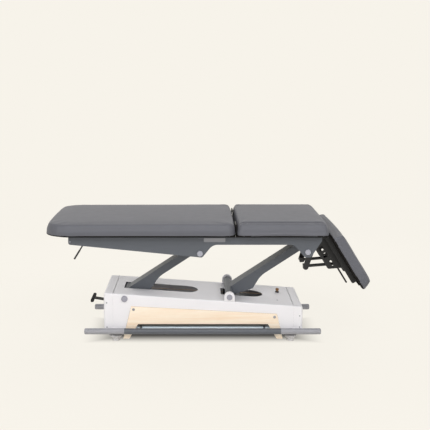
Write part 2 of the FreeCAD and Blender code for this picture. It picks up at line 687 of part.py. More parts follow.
# Chassis
def chassis():
    left = BASE_LEFT_X + RAIL_END_INSET
    right = BASE_RIGHT_X - RAIL_END_INSET
    pieces = []
    for side in (-1, 1):
        y0, y1 = sorted((side * RAIL_IN, side * RAIL_OUT))
        pieces.append(box(left, right, y0, y1, RAIL_BOTTOM_Z, RAIL_TOP_Z))
        cheek0, cheek1 = sorted((side * RAIL_IN, side * (RAIL_IN + CHEEK_T)))
        cheek = [(LEFT_PIVOT_X - CHEEK_W / 2, RAIL_BOTTOM_Z, 0),
                 (LEFT_PIVOT_X + CHEEK_W / 2, RAIL_BOTTOM_Z, 0),
                 (LEFT_PIVOT_X + CHEEK_R, LEFT_PIVOT_Z + CHEEK_R, CHEEK_R / 2),
                 (LEFT_PIVOT_X - CHEEK_R, LEFT_PIVOT_Z + CHEEK_R, CHEEK_R / 2)]
        pieces.append(plate(cheek, cheek0, cheek1))
        arm0, arm1 = sorted((side * RAIL_Y, side * (PANEL_IN - PASSING_GAP)))
        arm_top = cover_z(RIGHT_PIVOT_X + OUTRIGGER_W / 2) - SHEET_T - PASSING_GAP
        pieces.append(box(RIGHT_PIVOT_X - OUTRIGGER_W / 2, RIGHT_PIVOT_X + OUTRIGGER_W / 2,
                          arm0, arm1, RAIL_BOTTOM_Z, arm_top))
        tab0, tab1 = sorted((side * RAIL_Y, side * PANEL_IN))
        for x, z in panel_screw_places():
            pieces.append(box(x - PANEL_TAB_W / 2, x + PANEL_TAB_W / 2, tab0, tab1,
                              RAIL_BOTTOM_Z, z + PANEL_TAB_W / 2))
        hang0, hang1 = sorted((side * RAIL_IN, side * (TUBE_Y + TUBE_R)))
        for x in (TUBE_LEFT_X - HANGER_T, TUBE_RIGHT_X):
            pieces.append(box(x, x + HANGER_T, hang0, hang1, TUBE_Z - TUBE_R, RAIL_TOP_Z))
        for x in (LEFT_FOOT_X, RIGHT_FOOT_X):
            post = box(x - POST_W / 2, x + POST_W / 2, side * FOOT_Y - POST_W / 2, side * FOOT_Y + POST_W / 2,
                       POST_BOTTOM_Z, RAIL_TOP_Z)
            pieces.append(post)
        lug0, lug1 = sorted((side * PEDAL_SPAN, side * (PEDAL_SPAN + PEDAL_LUG_T)))
        lug = [(PEDAL_PIVOT_X - PEDAL_LUG_R, PEDAL_PIVOT_Z + PEDAL_LUG_R, PEDAL_LUG_R / 2),
               (PEDAL_PIVOT_X - PEDAL_LUG_R, PEDAL_PIVOT_Z - PEDAL_LUG_R, PEDAL_LUG_R / 2),
               (LEFT_FOOT_X, RAIL_BOTTOM_Z + PEDAL_LUG_R, 0),
               (LEFT_FOOT_X, RAIL_TOP_Z, 0),
               (PEDAL_PIVOT_X + PEDAL_LUG_R, PEDAL_PIVOT_Z + PEDAL_LUG_R, PEDAL_LUG_R / 2)]
        pieces.append(plate(lug, lug0, lug1))
    for x in (LEFT_FOOT_X, RIGHT_FOOT_X):
        pieces.append(box(x - END_BEAM_W / 2, x + END_BEAM_W / 2, -END_BEAM_HALF, END_BEAM_HALF,
                          RAIL_BOTTOM_Z, RAIL_TOP_Z))
    for x in (ACTUATOR_BEAM_X, MID_BEAM_X):
        pieces.append(box(x - CROSS_BEAM_W / 2, x + CROSS_BEAM_W / 2, -RAIL_Y, RAIL_Y,
                          RAIL_BOTTOM_Z, RAIL_TOP_Z))
    pieces.append(box(TRAY_X - TRAY_LENGTH / 2, TRAY_X + TRAY_LENGTH / 2, -RAIL_Y, RAIL_Y,
                      RAIL_TOP_Z - TRAY_T, RAIL_TOP_Z))
    mount_plate = box(ACTUATOR_BEAM_X, ACTUATOR_BEAM_X + CROSS_BEAM_W / 2, -MOTOR_W / 2, MOTOR_W / 2,
                      RAIL_BOTTOM_Z, ACTUATOR_Z + MOTOR_H / 2)
    pieces.append(mount_plate)
    pin_half = PEDAL_SPAN + PEDAL_LUG_T
    pin = rod_y(PEDAL_PIVOT_X, PEDAL_PIVOT_Z, -pin_half, pin_half, PEDAL_PIN_R)
    frame = join(*pieces, pin)
    for x in (LEFT_FOOT_X, RIGHT_FOOT_X):
        for side in (-1, 1):
            frame = frame.cut(rod_z(x, side * GUIDE_PIN_Y, RAIL_BOTTOM_Z - OVERRUN, RAIL_TOP_Z + OVERRUN,
                                    GUIDE_PIN_R + RUNNING_FIT))
    shaft = rod_y(LEFT_PIVOT_X, LEFT_PIVOT_Z, -BASE_WIDTH, BASE_WIDTH, PIVOT_SHAFT_R + RUNNING_FIT)
    return frame.cut(shaft)


def foot(x, y):
    disc = rod_z(x, y, 0, FOOT_H, FOOT_R)
    rim = [e for e in disc.Edges
           if abs(e.BoundBox.ZMin - FOOT_H) < FOOT_EDGE and e.BoundBox.ZLength < FOOT_EDGE]
    disc = disc.makeChamfer(FOOT_EDGE, rim)
    collar_z = FOOT_H + FOOT_COLLAR_RISE
    collar = rod_z(x, y, collar_z, collar_z + FOOT_COLLAR_T, FOOT_COLLAR_R)
    collar = collar.makeChamfer(FOOT_EDGE, [e for e in collar.Edges if e.BoundBox.ZLength < FOOT_EDGE])
    return join(disc, collar, rod_z(x, y, FOOT_H, POST_BOTTOM_Z, FOOT_STEM_R))


# Castors
def castor_carriage():
    """Two cross bars and a link bar, with pins that slide in the end beams of the chassis."""
    top = CARRIAGE_Z + CARRIAGE_H
    pieces = [box(LEFT_FOOT_X, RIGHT_FOOT_X, -LINK_BAR_W / 2, LINK_BAR_W / 2, CARRIAGE_Z, top)]
    for x in (LEFT_FOOT_X, RIGHT_FOOT_X):
        pieces.append(box(x - CARRIAGE_W / 2, x + CARRIAGE_W / 2, -CARRIAGE_HALF, CARRIAGE_HALF,
                          CARRIAGE_Z, top))
        for y in (-GUIDE_PIN_Y, GUIDE_PIN_Y):
            pieces.append(rod_z(x, y, CARRIAGE_Z, RAIL_TOP_Z - GUIDE_PIN_TOP_GAP, GUIDE_PIN_R))
    frame = join(*pieces)
    for x in (LEFT_FOOT_X, RIGHT_FOOT_X):
        for side in (-1, 1):
            frame = frame.cut(rod_z(x, side * CASTOR_Y, CARRIAGE_Z - OVERRUN, CARRIAGE_Z + FORK_STEM_LENGTH
                                    + PASSING_GAP, FORK_STEM_R + RUNNING_FIT))
    return frame


def castor_fork(x, y):
    """Swivel plate and stem, crown, two cheeks and the axle, trailing towards +X."""
    axle_x = x + CASTOR_TRAIL
    plate_z = CROWN_Z + FORK_CROWN_T
    half = WHEEL_W / 2 + FORK_SIDE_GAP
    pieces = [rod_z(x, y, plate_z, plate_z + FORK_PLATE_T, FORK_PLATE_R),
              rod_z(x, y, plate_z, plate_z + FORK_PLATE_T + PASSING_GAP + FORK_STEM_LENGTH, FORK_STEM_R),
              box(x - FORK_CHEEK_W / 2, axle_x + FORK_CHEEK_W / 2, y - half - FORK_CHEEK_T,
                  y + half + FORK_CHEEK_T, CROWN_Z, plate_z)]
    cheek = [(x - FORK_CHEEK_W / 2, plate_z, 0),
             (axle_x - FORK_CHEEK_W / 2, WHEEL_Z - FORK_CHEEK_W / 2, FORK_CHEEK_W / 3),
             (axle_x + FORK_CHEEK_W / 2, WHEEL_Z - FORK_CHEEK_W / 2, FORK_CHEEK_W / 3),
             (axle_x + FORK_CHEEK_W / 2, plate_z, 0)]
    pieces.append(plate(cheek, y - half - FORK_CHEEK_T, y - half))
    pieces.append(plate(cheek, y + half, y + half + FORK_CHEEK_T))
    pieces.append(rod_y(axle_x, WHEEL_Z, y - half - FORK_CHEEK_T, y + half + FORK_CHEEK_T, WHEEL_AXLE_R))
    return join(*pieces)


def castor_wheel(x, y):
    axle_x = x + CASTOR_TRAIL
    tyre = rod_y(axle_x, WHEEL_Z, y - WHEEL_W / 2, y + WHEEL_W / 2, WHEEL_R)
    rims = [e for e in tyre.Edges if e.BoundBox.YLength < WHEEL_EDGE]
    tyre = tyre.makeFillet(WHEEL_EDGE, rims)
    return tyre.cut(rod_y(axle_x, WHEEL_Z, y - WHEEL_W, y + WHEEL_W, WHEEL_AXLE_R + RUNNING_FIT))


# Castor pedal
def pedal_stem():
    """Twin flat bars from the hub to the tread, rising to the left."""
    tread_x = PEDAL_PIVOT_X - PEDAL_REACH
    tread_z = PEDAL_PIVOT_Z + PEDAL_RISE
    half = PEDAL_SPAN - SEAM
    hub = rod_y(PEDAL_PIVOT_X, PEDAL_PIVOT_Z, -half, half, PEDAL_HUB_R)
    pieces = [hub]
    for side in (-1, 1):
        y0, y1 = sorted((side * (PEDAL_BAR_Y - PEDAL_BAR_T / 2), side * (PEDAL_BAR_Y + PEDAL_BAR_T / 2)))
        bar = [(PEDAL_PIVOT_X, PEDAL_PIVOT_Z - PEDAL_BAR_H / 2, 0),
               (PEDAL_PIVOT_X, PEDAL_PIVOT_Z + PEDAL_BAR_H / 2, 0),
               (tread_x, tread_z + PEDAL_BAR_H / 2, 0), (tread_x, tread_z - PEDAL_BAR_H / 2, 0)]
        pieces.append(plate(bar, y0, y1))
    stem = join(*pieces)
    stem = stem.cut(rod_y(PEDAL_PIVOT_X, PEDAL_PIVOT_Z, -half - OVERRUN, half + OVERRUN,
                          PEDAL_PIN_R + RUNNING_FIT))
    return stem.cut(rod_y(tread_x, tread_z, -TREAD_LENGTH, TREAD_LENGTH, TREAD_R))


def pedal_tread():
    tread_x = PEDAL_PIVOT_X - PEDAL_REACH
    tread_z = PEDAL_PIVOT_Z + PEDAL_RISE
    bar = rod_y(tread_x, tread_z, -TREAD_LENGTH / 2, TREAD_LENGTH / 2, TREAD_R)
    return bar.makeFillet(TREAD_END_R, [e for e in bar.Edges if e.BoundBox.YLength < TREAD_END_R])


# Foot-control bars
def foot_bar():
    """Far dark tube with two lugs that turn on the polished tube."""
    bar = rod_x(BAR_Y, BAR_Z, BAR_LEFT_X, BAR_RIGHT_X, BAR_R)
    pieces = [bar]
    for x in (BAR_LEFT_X + BAR_LUG_INSET, BAR_RIGHT_X - BAR_LUG_INSET):
        x0 = x - BAR_LUG_T / 2
        x1 = x + BAR_LUG_T / 2
        pieces.append(rod_x(TUBE_Y, TUBE_Z, x0, x1, BAR_LUG_HUB_R))
        web = box(x0, x1, TUBE_Y, BAR_Y, BAR_Z - BAR_LUG_H / 2, BAR_Z + BAR_LUG_H / 2)
        pieces.append(web)
    body = join(*pieces)
    body = body.cut(rod_x(TUBE_Y, TUBE_Z, BAR_LEFT_X, BAR_RIGHT_X, TUBE_R + RUNNING_FIT))
    return body.cut(rod_x(BAR_Y, BAR_Z, BAR_LEFT_X - OVERRUN, BAR_RIGHT_X + OVERRUN, BAR_BORE_R))


def foot_bar_ends():
    """Far pair of pale end sleeves, each with a spigot inside the dark tube."""
    sleeves = []
    for x_joint, outward in ((BAR_LEFT_X, -1), (BAR_RIGHT_X, 1)):
        x_end = x_joint + outward * BAR_END_LENGTH
        x0, x1 = sorted((x_joint, x_end))
        sleeve = rod_x(BAR_Y, BAR_Z, x0, x1, BAR_R)
        rim = [e for e in sleeve.Edges
               if abs(e.BoundBox.XMin - x_end) < SEAM and abs(e.BoundBox.XMax - x_end) < SEAM]
        sleeve = sleeve.makeFillet(BAR_END_R, rim)
        s0, s1 = sorted((x_joint, x_joint - outward * SPIGOT_LENGTH))
        spigot = rod_x(BAR_Y, BAR_Z, s0, s1, BAR_BORE_R - RUNNING_FIT)
        sleeves.append(join(sleeve, spigot))
    return Part.makeCompound(sleeves)


# Base pivots
def base_pivot_shafts():
    left = rod_y(LEFT_PIVOT_X, LEFT_PIVOT_Z, -BASE_HALF, BASE_HALF, PIVOT_SHAFT_R)
    right = rod_y(RIGHT_PIVOT_X, RIGHT_PIVOT_Z, -BASE_HALF, BASE_HALF, PIVOT_SHAFT_R)
    return Part.makeCompound([left, right])


def pivot_caps(x, z, y, radius, thickness):
    far = capped_rod_y(x, z, y, y + thickness, radius, CAP_EDGE, 1)
    near = capped_rod_y(x, z, -y - thickness, -y, radius, CAP_EDGE, -1)
    return [far, near]


def base_pivot_caps():
    return Part.makeCompound(pivot_caps(LEFT_PIVOT_X, LEFT_PIVOT_Z, BASE_HALF, LEFT_CAP_R, CAP_T)
                             + pivot_caps(RIGHT_PIVOT_X, RIGHT_PIVOT_Z, BASE_HALF, RIGHT_CAP_R, CAP_T))


def bearing_bracket():
    """Far arched bearing block that stands on the casing."""
    x0 = RIGHT_PIVOT_X - BRACKET_R
    x1 = RIGHT_PIVOT_X + BRACKET_R
    y0 = BASE_HALF - BRACKET_T
    foot_block = plate([(x0, cover_z(x0), 0), (x1, cover_z(x1), 0),
                        (x1, RIGHT_PIVOT_Z, 0), (x0, RIGHT_PIVOT_Z, 0)],
                       y0, BASE_HALF)
    arch = join(foot_block, rod_y(RIGHT_PIVOT_X, RIGHT_PIVOT_Z, y0, BASE_HALF, BRACKET_R))
    roof = plate([(x0 - OVERRUN, RAIL_TOP_Z, 0), (x1 + OVERRUN, RAIL_TOP_Z, 0),
                  (x1 + OVERRUN, cover_z(x1 + OVERRUN), 0), (x0 - OVERRUN, cover_z(x0 - OVERRUN), 0)],
                 y0 - OVERRUN, BASE_HALF + OVERRUN)
    arch = arch.cut(roof)
    return arch.cut(rod_y(RIGHT_PIVOT_X, RIGHT_PIVOT_Z, y0 - OVERRUN, BASE_HALF + OVERRUN,
                          PIVOT_SHAFT_R + RUNNING_FIT))


# Drive and controls
def lift_actuator():
    """Motor housing bolted to the chassis and the guide tube of its push rod."""
    x0 = ACTUATOR_BEAM_X + CROSS_BEAM_W / 2
    x1 = x0 + MOTOR_LENGTH
    tube_end = RIGHT_PIVOT_X - ACTUATOR_TUBE_END
    housing = box(x0, x1, -MOTOR_W / 2, MOTOR_W / 2, ACTUATOR_Z - MOTOR_H / 2, ACTUATOR_Z + MOTOR_H / 2)
    housing = housing.makeFillet(MOTOR_EDGE_R, edges_along(housing, V(1, 0, 0), lambda p: True))
    body = join(housing, rod_x(0, ACTUATOR_Z, x1, tube_end, ACTUATOR_TUBE_R))
    return body.cut(rod_x(0, ACTUATOR_Z, x1, tube_end + OVERRUN, ACTUATOR_ROD_R + RUNNING_FIT))


def crank_pin_place():
    lean = math.radians(CRANK_LEAD_ANGLE)
    return (RIGHT_PIVOT_X - CRANK_LENGTH * math.sin(lean), RIGHT_PIVOT_Z - CRANK_LENGTH * math.cos(lean))


def actuator_rod():
    """Push rod with a slotted yoke that the crank pin rises and falls in."""
    pin_x, pin_z = crank_pin_place()
    x0 = pin_x - YOKE_HALF_LENGTH
    yoke = box(x0, pin_x + YOKE_HALF_LENGTH, -YOKE_W / 2, YOKE_W / 2,
               ACTUATOR_Z - YOKE_HALF_H, ACTUATOR_Z + YOKE_HALF_H)
    half_x = CRANK_PIN_R + YOKE_SLOT_FREE_X
    half_z = CRANK_PIN_R + YOKE_SLOT_FREE_Z
    slot = box(pin_x - half_x, pin_x + half_x, -YOKE_W, YOKE_W, ACTUATOR_Z - half_z, ACTUATOR_Z + half_z)
    slot = slot.makeFillet(CRANK_PIN_R, edges_along(slot, V(0, 1, 0), lambda p: True))
    return join(yoke.cut(slot), rod_x(0, ACTUATOR_Z, x0 - ACTUATOR_ROD_LENGTH, x0, ACTUATOR_ROD_R))


def control_box():
    case = box(TRAY_X - CONTROL_BOX_LENGTH / 2, TRAY_X + CONTROL_BOX_LENGTH / 2, -CONTROL_BOX_W / 2,
               CONTROL_BOX_W / 2, RAIL_TOP_Z, RAIL_TOP_Z + CONTROL_BOX_H)
    return case.makeFillet(CONTROL_BOX_EDGE_R, edges_along(case, V(0, 0, 1), lambda p: True))


def mains_inlet():
    face_x = BASE_RIGHT_X + INLET_FLANGE_T
    shell = box(BASE_RIGHT_X - INLET_DEPTH, face_x, INLET_Y - INLET_W / 2, INLET_Y + INLET_W / 2,
                INLET_Z - INLET_H / 2, INLET_Z + INLET_H / 2)
    flange = box(BASE_RIGHT_X, face_x,
                 INLET_Y - INLET_W / 2 - INLET_FLANGE, INLET_Y + INLET_W / 2 + INLET_FLANGE,
                 INLET_Z - INLET_H / 2 - INLET_FLANGE, INLET_Z + INLET_H / 2 + INLET_FLANGE)
    pocket = box(face_x - INLET_POCKET, face_x + OVERRUN, INLET_Y - INLET_W / 2 + INLET_WALL,
                 INLET_Y + INLET_W / 2 - INLET_WALL, INLET_Z - INLET_H / 2 + INLET_WALL,
                 INLET_Z + INLET_H / 2 - INLET_WALL)
    return join(shell, flange).cut(pocket)


def on_cover(shape, x, y):
    """Place a shape built at the origin on the sloping top of the casing."""
    slope = math.degrees(math.atan2(COVER_LEFT_Z - COVER_RIGHT_Z, BASE_LENGTH))
    shape.rotate(V(0, 0, 0), V(0, 1, 0), slope)
    shape.translate(V(x, y, cover_z(x)))
    return shape


def key_switch():
    barrel = rod_z(0, 0, 0, KEY_BARREL_H, KEY_BARREL_R)
    keyway = rod_z(0, 0, KEY_BARREL_H - KEY_BLADE_DEPTH - PASSING_GAP, KEY_BARREL_H + OVERRUN,
                   KEYWAY_LENGTH / 2)
    return on_cover(barrel.cut(keyway), KEY_X, KEY_Y)


def key():
    """Flat key, its blade standing in the round keyway of the barrel."""
    z0 = KEY_BARREL_H - KEY_BLADE_DEPTH
    z1 = KEY_BARREL_H + KEY_NECK
    blade = box(-KEY_BLADE_W / 2, KEY_BLADE_W / 2, -KEY_T / 2, KEY_T / 2, z0, z1)
    bow = box(-KEY_BOW_W / 2, KEY_BOW_W / 2, -KEY_T / 2, KEY_T / 2, z1, z1 + KEY_BOW_H)
    bow = bow.makeFillet(KEY_BOW_R, edges_along(bow, V(0, 1, 0), lambda p: True))
    return on_cover(join(blade, bow), KEY_X, KEY_Y)


# Lift arms
def arm_place(u, v, pivot_x, pivot_z):
    """Point u along the arm from its base pivot and v above its centre line."""
    c = math.cos(math.radians(ARM_REST_ANGLE))
    s = math.sin(math.radians(ARM_REST_ANGLE))
    return (pivot_x + u * c - v * s, pivot_z + u * s + v * c)


def arm_outline(pivot_x, pivot_z, top, bottom_drop):
    """Arm seen from the side: parallel edges above, a flared heel at the base pivot."""
    neck_u = ARM_LENGTH * ARM_FLARE_NECK_SHARE
    flare_u = ARM_LENGTH * ARM_FLARE_CORNER_SHARE
    heel_u = -ARM_LENGTH * ARM_HEEL_SHARE
    end_u = ARM_LENGTH + ARM_END_R
    local = [
        (heel_u, top, 0),
        (end_u, top, ARM_END_R / 2 if bottom_drop == 0 else 0),
        (end_u, -ARM_BOTTOM_EDGE - bottom_drop, ARM_END_R / 2 if bottom_drop == 0 else 0),
        (neck_u, -ARM_BOTTOM_EDGE - bottom_drop, ARM_FLARE_R),
        (flare_u, -ARM_FLARE_DEPTH - bottom_drop, ARM_FLARE_CORNER_R),
        (heel_u, -ARM_HEEL_DEPTH - bottom_drop, 0),
    ]
    points = []
    for u, v, radius in local:
        x, z = arm_place(u, v, pivot_x, pivot_z)
        points.append((x, z, radius))
    return points


def lift_arm(pivot_x, pivot_z, hub_half):
    """Channel-section arm, open below, with its two hub tubes."""
    half = ARM_WIDTH / 2
    body = plate(arm_outline(pivot_x, pivot_z, ARM_TOP_EDGE, 0), -half, half)
    hollow = plate(arm_outline(pivot_x, pivot_z, ARM_TOP_EDGE - ARM_WALL, ARM_WIDTH),
                   -half + ARM_WALL, half - ARM_WALL)
    channel = body.cut(hollow)
    top_x, top_z = arm_place(ARM_LENGTH, 0, pivot_x, pivot_z)
    hubs = [rod_y(pivot_x, pivot_z, -hub_half, hub_half, HUB_R),
            rod_y(top_x, top_z, -ARM_TOP_HUB_WIDTH / 2, ARM_TOP_HUB_WIDTH / 2, HUB_R)]
    return join(channel, *hubs)


def bore_arm(arm, pivot_x, pivot_z):
    top_x, top_z = arm_place(ARM_LENGTH, 0, pivot_x, pivot_z)
    for x, z in ((pivot_x, pivot_z), (top_x, top_z)):
        arm = arm.cut(rod_y(x, z, -BASE_WIDTH, BASE_WIDTH, PIVOT_SHAFT_R + RUNNING_FIT))
    return arm


def left_lift_arm():
    arm = lift_arm(LEFT_PIVOT_X, LEFT_PIVOT_Z, RAIL_IN - SEAM)
    return bore_arm(arm, LEFT_PIVOT_X, LEFT_PIVOT_Z)


def right_lift_arm():
    """Right arm on its cross tube, with the twin crank plates of the drive."""
    arm = lift_arm(RIGHT_PIVOT_X, RIGHT_PIVOT_Z, BASE_HALF - BRACKET_T - SEAM)
    pin_x, pin_z = crank_pin_place()
    inner = CRANK_GAP / 2
    crank = []
    for side in (-1, 1):
        y0, y1 = sorted((side * inner, side * (inner + CRANK_PLATE_T)))
        web = plate([(RIGHT_PIVOT_X - CRANK_R, RIGHT_PIVOT_Z, 0), (pin_x - CRANK_R, pin_z, 0),
                     (pin_x + CRANK_R, pin_z, 0), (RIGHT_PIVOT_X + CRANK_R, RIGHT_PIVOT_Z, 0)], y0, y1)
        crank.append(join(web, rod_y(pin_x, pin_z, y0, y1, CRANK_R)))
    crank.append(rod_y(pin_x, pin_z, -inner - CRANK_PLATE_T, inner + CRANK_PLATE_T, CRANK_PIN_R))
    return bore_arm(join(arm, *crank), RIGHT_PIVOT_X, RIGHT_PIVOT_Z)


# Top frame
def side_plate():
    """Far side plate: a strip that deepens to the left boss, an arch and the right boss."""
    strip_z = FRAME_Z - PLATE_STRIP_DEPTH
    outline = [
        (PLATE_LEFT_X, FRAME_Z, 0),
        (PLATE_LEFT_X, FRAME_Z - PLATE_END_DEPTH, PLATE_CORNER_R),
        (TOP_LEFT_X + BOSS_CORNER, TOP_LEFT_Z - BOSS_DROP, BOSS_CORNER_R),
        (TOP_LEFT_X + S_CURVE_RUN, strip_z, S_CURVE_R),
        (TOP_RIGHT_X - ARCH_RUN, strip_z, ARCH_R),
        (TOP_RIGHT_X - RIGHT_BOSS_HALF, TOP_RIGHT_Z - RIGHT_BOSS_DROP, BOSS_CORNER_R),
        (TOP_RIGHT_X + RIGHT_BOSS_HALF, TOP_RIGHT_Z - RIGHT_BOSS_DROP, BOSS_CORNER_R),
        (PLATE_RIGHT_X, FRAME_Z - RIGHT_EDGE_DEPTH, RIGHT_EDGE_R),
        (PLATE_RIGHT_X, FRAME_Z, 0),
    ]
    sheet = join(plate(outline, PLATE_IN, SIDE_PLATE_Y),
                 rod_y(TOP_LEFT_X, TOP_LEFT_Z, PLATE_IN, SIDE_PLATE_Y, BOSS_R),
                 rod_y(TOP_RIGHT_X, TOP_RIGHT_Z, PLATE_IN, SIDE_PLATE_Y, BOSS_R))
    for x, z in ((TOP_LEFT_X, TOP_LEFT_Z), (TOP_RIGHT_X, TOP_RIGHT_Z)):
        sheet = sheet.cut(rod_y(x, z, PLATE_IN - OVERRUN, SIDE_PLATE_Y + OVERRUN,
                                PIVOT_SHAFT_R + RUNNING_FIT))
    return sheet


def upper_pivot_shafts():
    return Part.makeCompound([rod_y(x, z, -SIDE_PLATE_Y, SIDE_PLATE_Y, PIVOT_SHAFT_R)
                              for x, z in ((TOP_LEFT_X, TOP_LEFT_Z), (TOP_RIGHT_X, TOP_RIGHT_Z))])


def frame_caps():
    """Pale caps on the upper pivots and on the screw at the left end of each side plate."""
    caps = pivot_caps(TOP_LEFT_X, TOP_LEFT_Z, SIDE_PLATE_Y, UPPER_CAP_R, UPPER_CAP_T)
    caps += pivot_caps(TOP_RIGHT_X, TOP_RIGHT_Z, SIDE_PLATE_Y, UPPER_CAP_R, UPPER_CAP_T)
    screw = rod_y(PLATE_LEFT_X + PLATE_SCREW_INSET, FRAME_Z - PLATE_SCREW_DROP,
                  SIDE_PLATE_Y, SIDE_PLATE_Y + SCREW_T, SCREW_R)
    return Part.makeCompound(caps + [screw, far_copy(screw)])


def bare_plate():
    x0 = TOP_LEFT_X + BARE_PLATE_X
    z1 = FRAME_Z - BARE_PLATE_DROP
    label = [(x0, z1, BARE_PLATE_R), (x0 + BARE_PLATE_LENGTH, z1, BARE_PLATE_R),
             (x0 + BARE_PLATE_LENGTH, z1 - BARE_PLATE_H, BARE_PLATE_R), (x0, z1 - BARE_PLATE_H, BARE_PLATE_R)]
    return plate(label, -SIDE_PLATE_Y - BARE_PLATE_T, -SIDE_PLATE_Y)


def spring_lugs(place, root):
    """Two lug plates and the pin that holds one end of the gas spring. The plates run from the pin at place
    to the corners in root."""
    x, z = place
    inner = SPRING_LUG_GAP / 2
    outer = inner + SPRING_LUG_T
    solids = [rod_y(x, z, -outer, outer, SPRING_PIN_R)]
    for y0, y1 in ((-outer, -inner), (inner, outer)):
        solids.append(rod_y(x, z, y0, y1, SPRING_LUG_R))
        solids.append(plate(root, y0, y1))
    return solids


def frame_cross_members():
    """Welded cross members between the side plates; the lowest one carries the gas spring."""
    top = FRAME_Z - CROSS_DROP
    solids = []
    for x in (PLATE_LEFT_X + LEFT_CROSS_INSET, TOP_LEFT_X + LONG_CROSS_X, RIGHT_CROSS_X):
        solids.append(box(x - CROSS_W / 2, x + CROSS_W / 2, -PLATE_IN, PLATE_IN, top - CROSS_H, top))
    beam = box(SPRING_BEAM_X - CROSS_W / 2, SPRING_BEAM_X + CROSS_W / 2, -PLATE_IN, PLATE_IN,
               SPRING_BEAM_Z - SPRING_CROSS_H, SPRING_BEAM_Z)
    x, z = SPRING_FOOT
    root = [(x, z - SPRING_LUG_R, 0), (SPRING_BEAM_X, z - SPRING_LUG_R, 0),
            (SPRING_BEAM_X, z + SPRING_LUG_R, 0), (x, z + SPRING_LUG_R, 0)]
    solids.append(join(beam, *spring_lugs(SPRING_FOOT, root)))
    return Part.makeCompound(solids)


# Cushions and boards
def cushion_section(x, half, base_z, top_z, sewn):
    """Closed YZ section: flat base, rounded sides, crowned top, with sewn lines if asked."""
    edge_z = base_z + (top_z - base_z) * CUSHION_EDGE_SHARE
    mid_z = (base_z + edge_z) / 2
    shoulder = half - CUSHION_TOP_INSET
    foot_half = half - CUSHION_BULGE
    shoulder_z = top_z - CUSHION_CROWN

    def spot(y, z):
        return V(x, y, z)

    def arc(a, b, c):
        return Part.Arc(a, b, c).toShape()

    edges = [Part.LineSegment(spot(-foot_half, base_z), spot(foot_half, base_z)).toShape(),
             arc(spot(foot_half, base_z), spot(half, mid_z), spot(half - CUSHION_BULGE / 2, edge_z)),
             arc(spot(half - CUSHION_BULGE / 2, edge_z),
                 spot(half - CUSHION_TOP_INSET / 3, (edge_z + 2 * shoulder_z) / 3),
                 spot(shoulder, shoulder_z))]
    if sewn:
        line_y = half - SEWN_LINE_INSET
        line_z = top_z - SEWN_LINE_DEPTH
        edges.append(arc(spot(shoulder, shoulder_z),
                         spot((shoulder + line_y) / 2, top_z - SEWN_LINE_DEPTH / 4),
                         spot(line_y, line_z)))
        edges.append(arc(spot(line_y, line_z), spot(0, top_z), spot(-line_y, line_z)))
        edges.append(arc(spot(-line_y, line_z), spot(-(shoulder + line_y) / 2, top_z - SEWN_LINE_DEPTH / 4),
                         spot(-shoulder, shoulder_z)))
    else:
        edges.append(arc(spot(shoulder, shoulder_z), spot(0, top_z), spot(-shoulder, shoulder_z)))
    edges.append(arc(spot(-shoulder, shoulder_z),
                     spot(-half + CUSHION_TOP_INSET / 3, (edge_z + 2 * shoulder_z) / 3),
                     spot(-half + CUSHION_BULGE / 2, edge_z)))
    edges.append(arc(spot(-half + CUSHION_BULGE / 2, edge_z), spot(-half, mid_z), spot(-foot_half, base_z)))
    return Part.Wire(edges)


END_STEP_SHARES = (0.0, 0.05, 0.12, 0.22, 0.35, 0.6, 1.0)
DRAW_IN_SHARES = (0.25, 0.5, 0.75)


def quarter_round(gap, radius):
    """Set-back of a quarter round of the radius at a distance in from its edge."""
    if gap >= radius:
        return 0
    return radius - math.sqrt(radius ** 2 - (radius - gap) ** 2)


def cushion(x0, x1, thickness, corners, rolls, thinning, sewn):
    """Crowned cushion with rounded plan corners, rolled ends and sides drawn in between them.

    The corners and rolls are radii at the left and the right end.
    """
    left_corner, right_corner = corners
    left_roll, right_roll = rolls
    inner0 = x0 + left_corner
    inner1 = x1 - right_corner
    stations = [(x0 + left_corner * share, 0) for share in END_STEP_SHARES]
    stations += [(inner0 + (inner1 - inner0) * share, math.sin(math.pi * share)) for share in DRAW_IN_SHARES]
    stations += [(x1 - right_corner * share, 0) for share in reversed(END_STEP_SHARES)]
    wires = []
    for x, pull in stations:
        thin = thinning * (x1 - x) / (x1 - x0)
        roll = quarter_round(x - x0, left_roll) + quarter_round(x1 - x, right_roll)
        rounding = quarter_round(x - x0, left_corner) + quarter_round(x1 - x, right_corner)
        top = BOARD_Z + thickness + CUSHION_RISE - thin - roll
        half = COUCH_HALF - rounding - CUSHION_DRAW_IN * pull
        wires.append(cushion_section(x, half, BOARD_Z + CUSHION_SEAT_GAP, top, sewn))
    return Part.makeLoft(wires, True, True)


def board(x0, x1, z0, end_r, half):
    slab = box(x0, x1, -half, half, z0, z0 + BOARD_T)
    if end_r == 0:
        return slab
    outer_x = x0 if end_r < 0 else x1
    corners = edges_along(slab, V(0, 0, 1), lambda p: abs(p.x - outer_x) < SEAM)
    return slab.makeFillet(abs(end_r), corners)


def board_half():
    return COUCH_HALF - BOARD_INSET


def long_cushion():
    return cushion(LONG_LEFT_X, LONG_RIGHT_X, CUSHION_T, (LONG_CORNER_R, LONG_INNER_CORNER_R),
                   (LONG_END_ROLL, END_ROLL), LONG_THINNING, False)


def mid_cushion():
    return cushion(MID_LEFT_X, MID_RIGHT_X, CUSHION_T, (MID_CORNER_R, MID_CORNER_R), (END_ROLL, END_ROLL),
                   0, True)


def long_board():
    return board(LONG_LEFT_X + LONG_BOARD_END_INSET, LONG_RIGHT_X + BOARD_HINGE_INSET, FRAME_Z,
                 -(LONG_CORNER_R - BOARD_INSET), board_half())


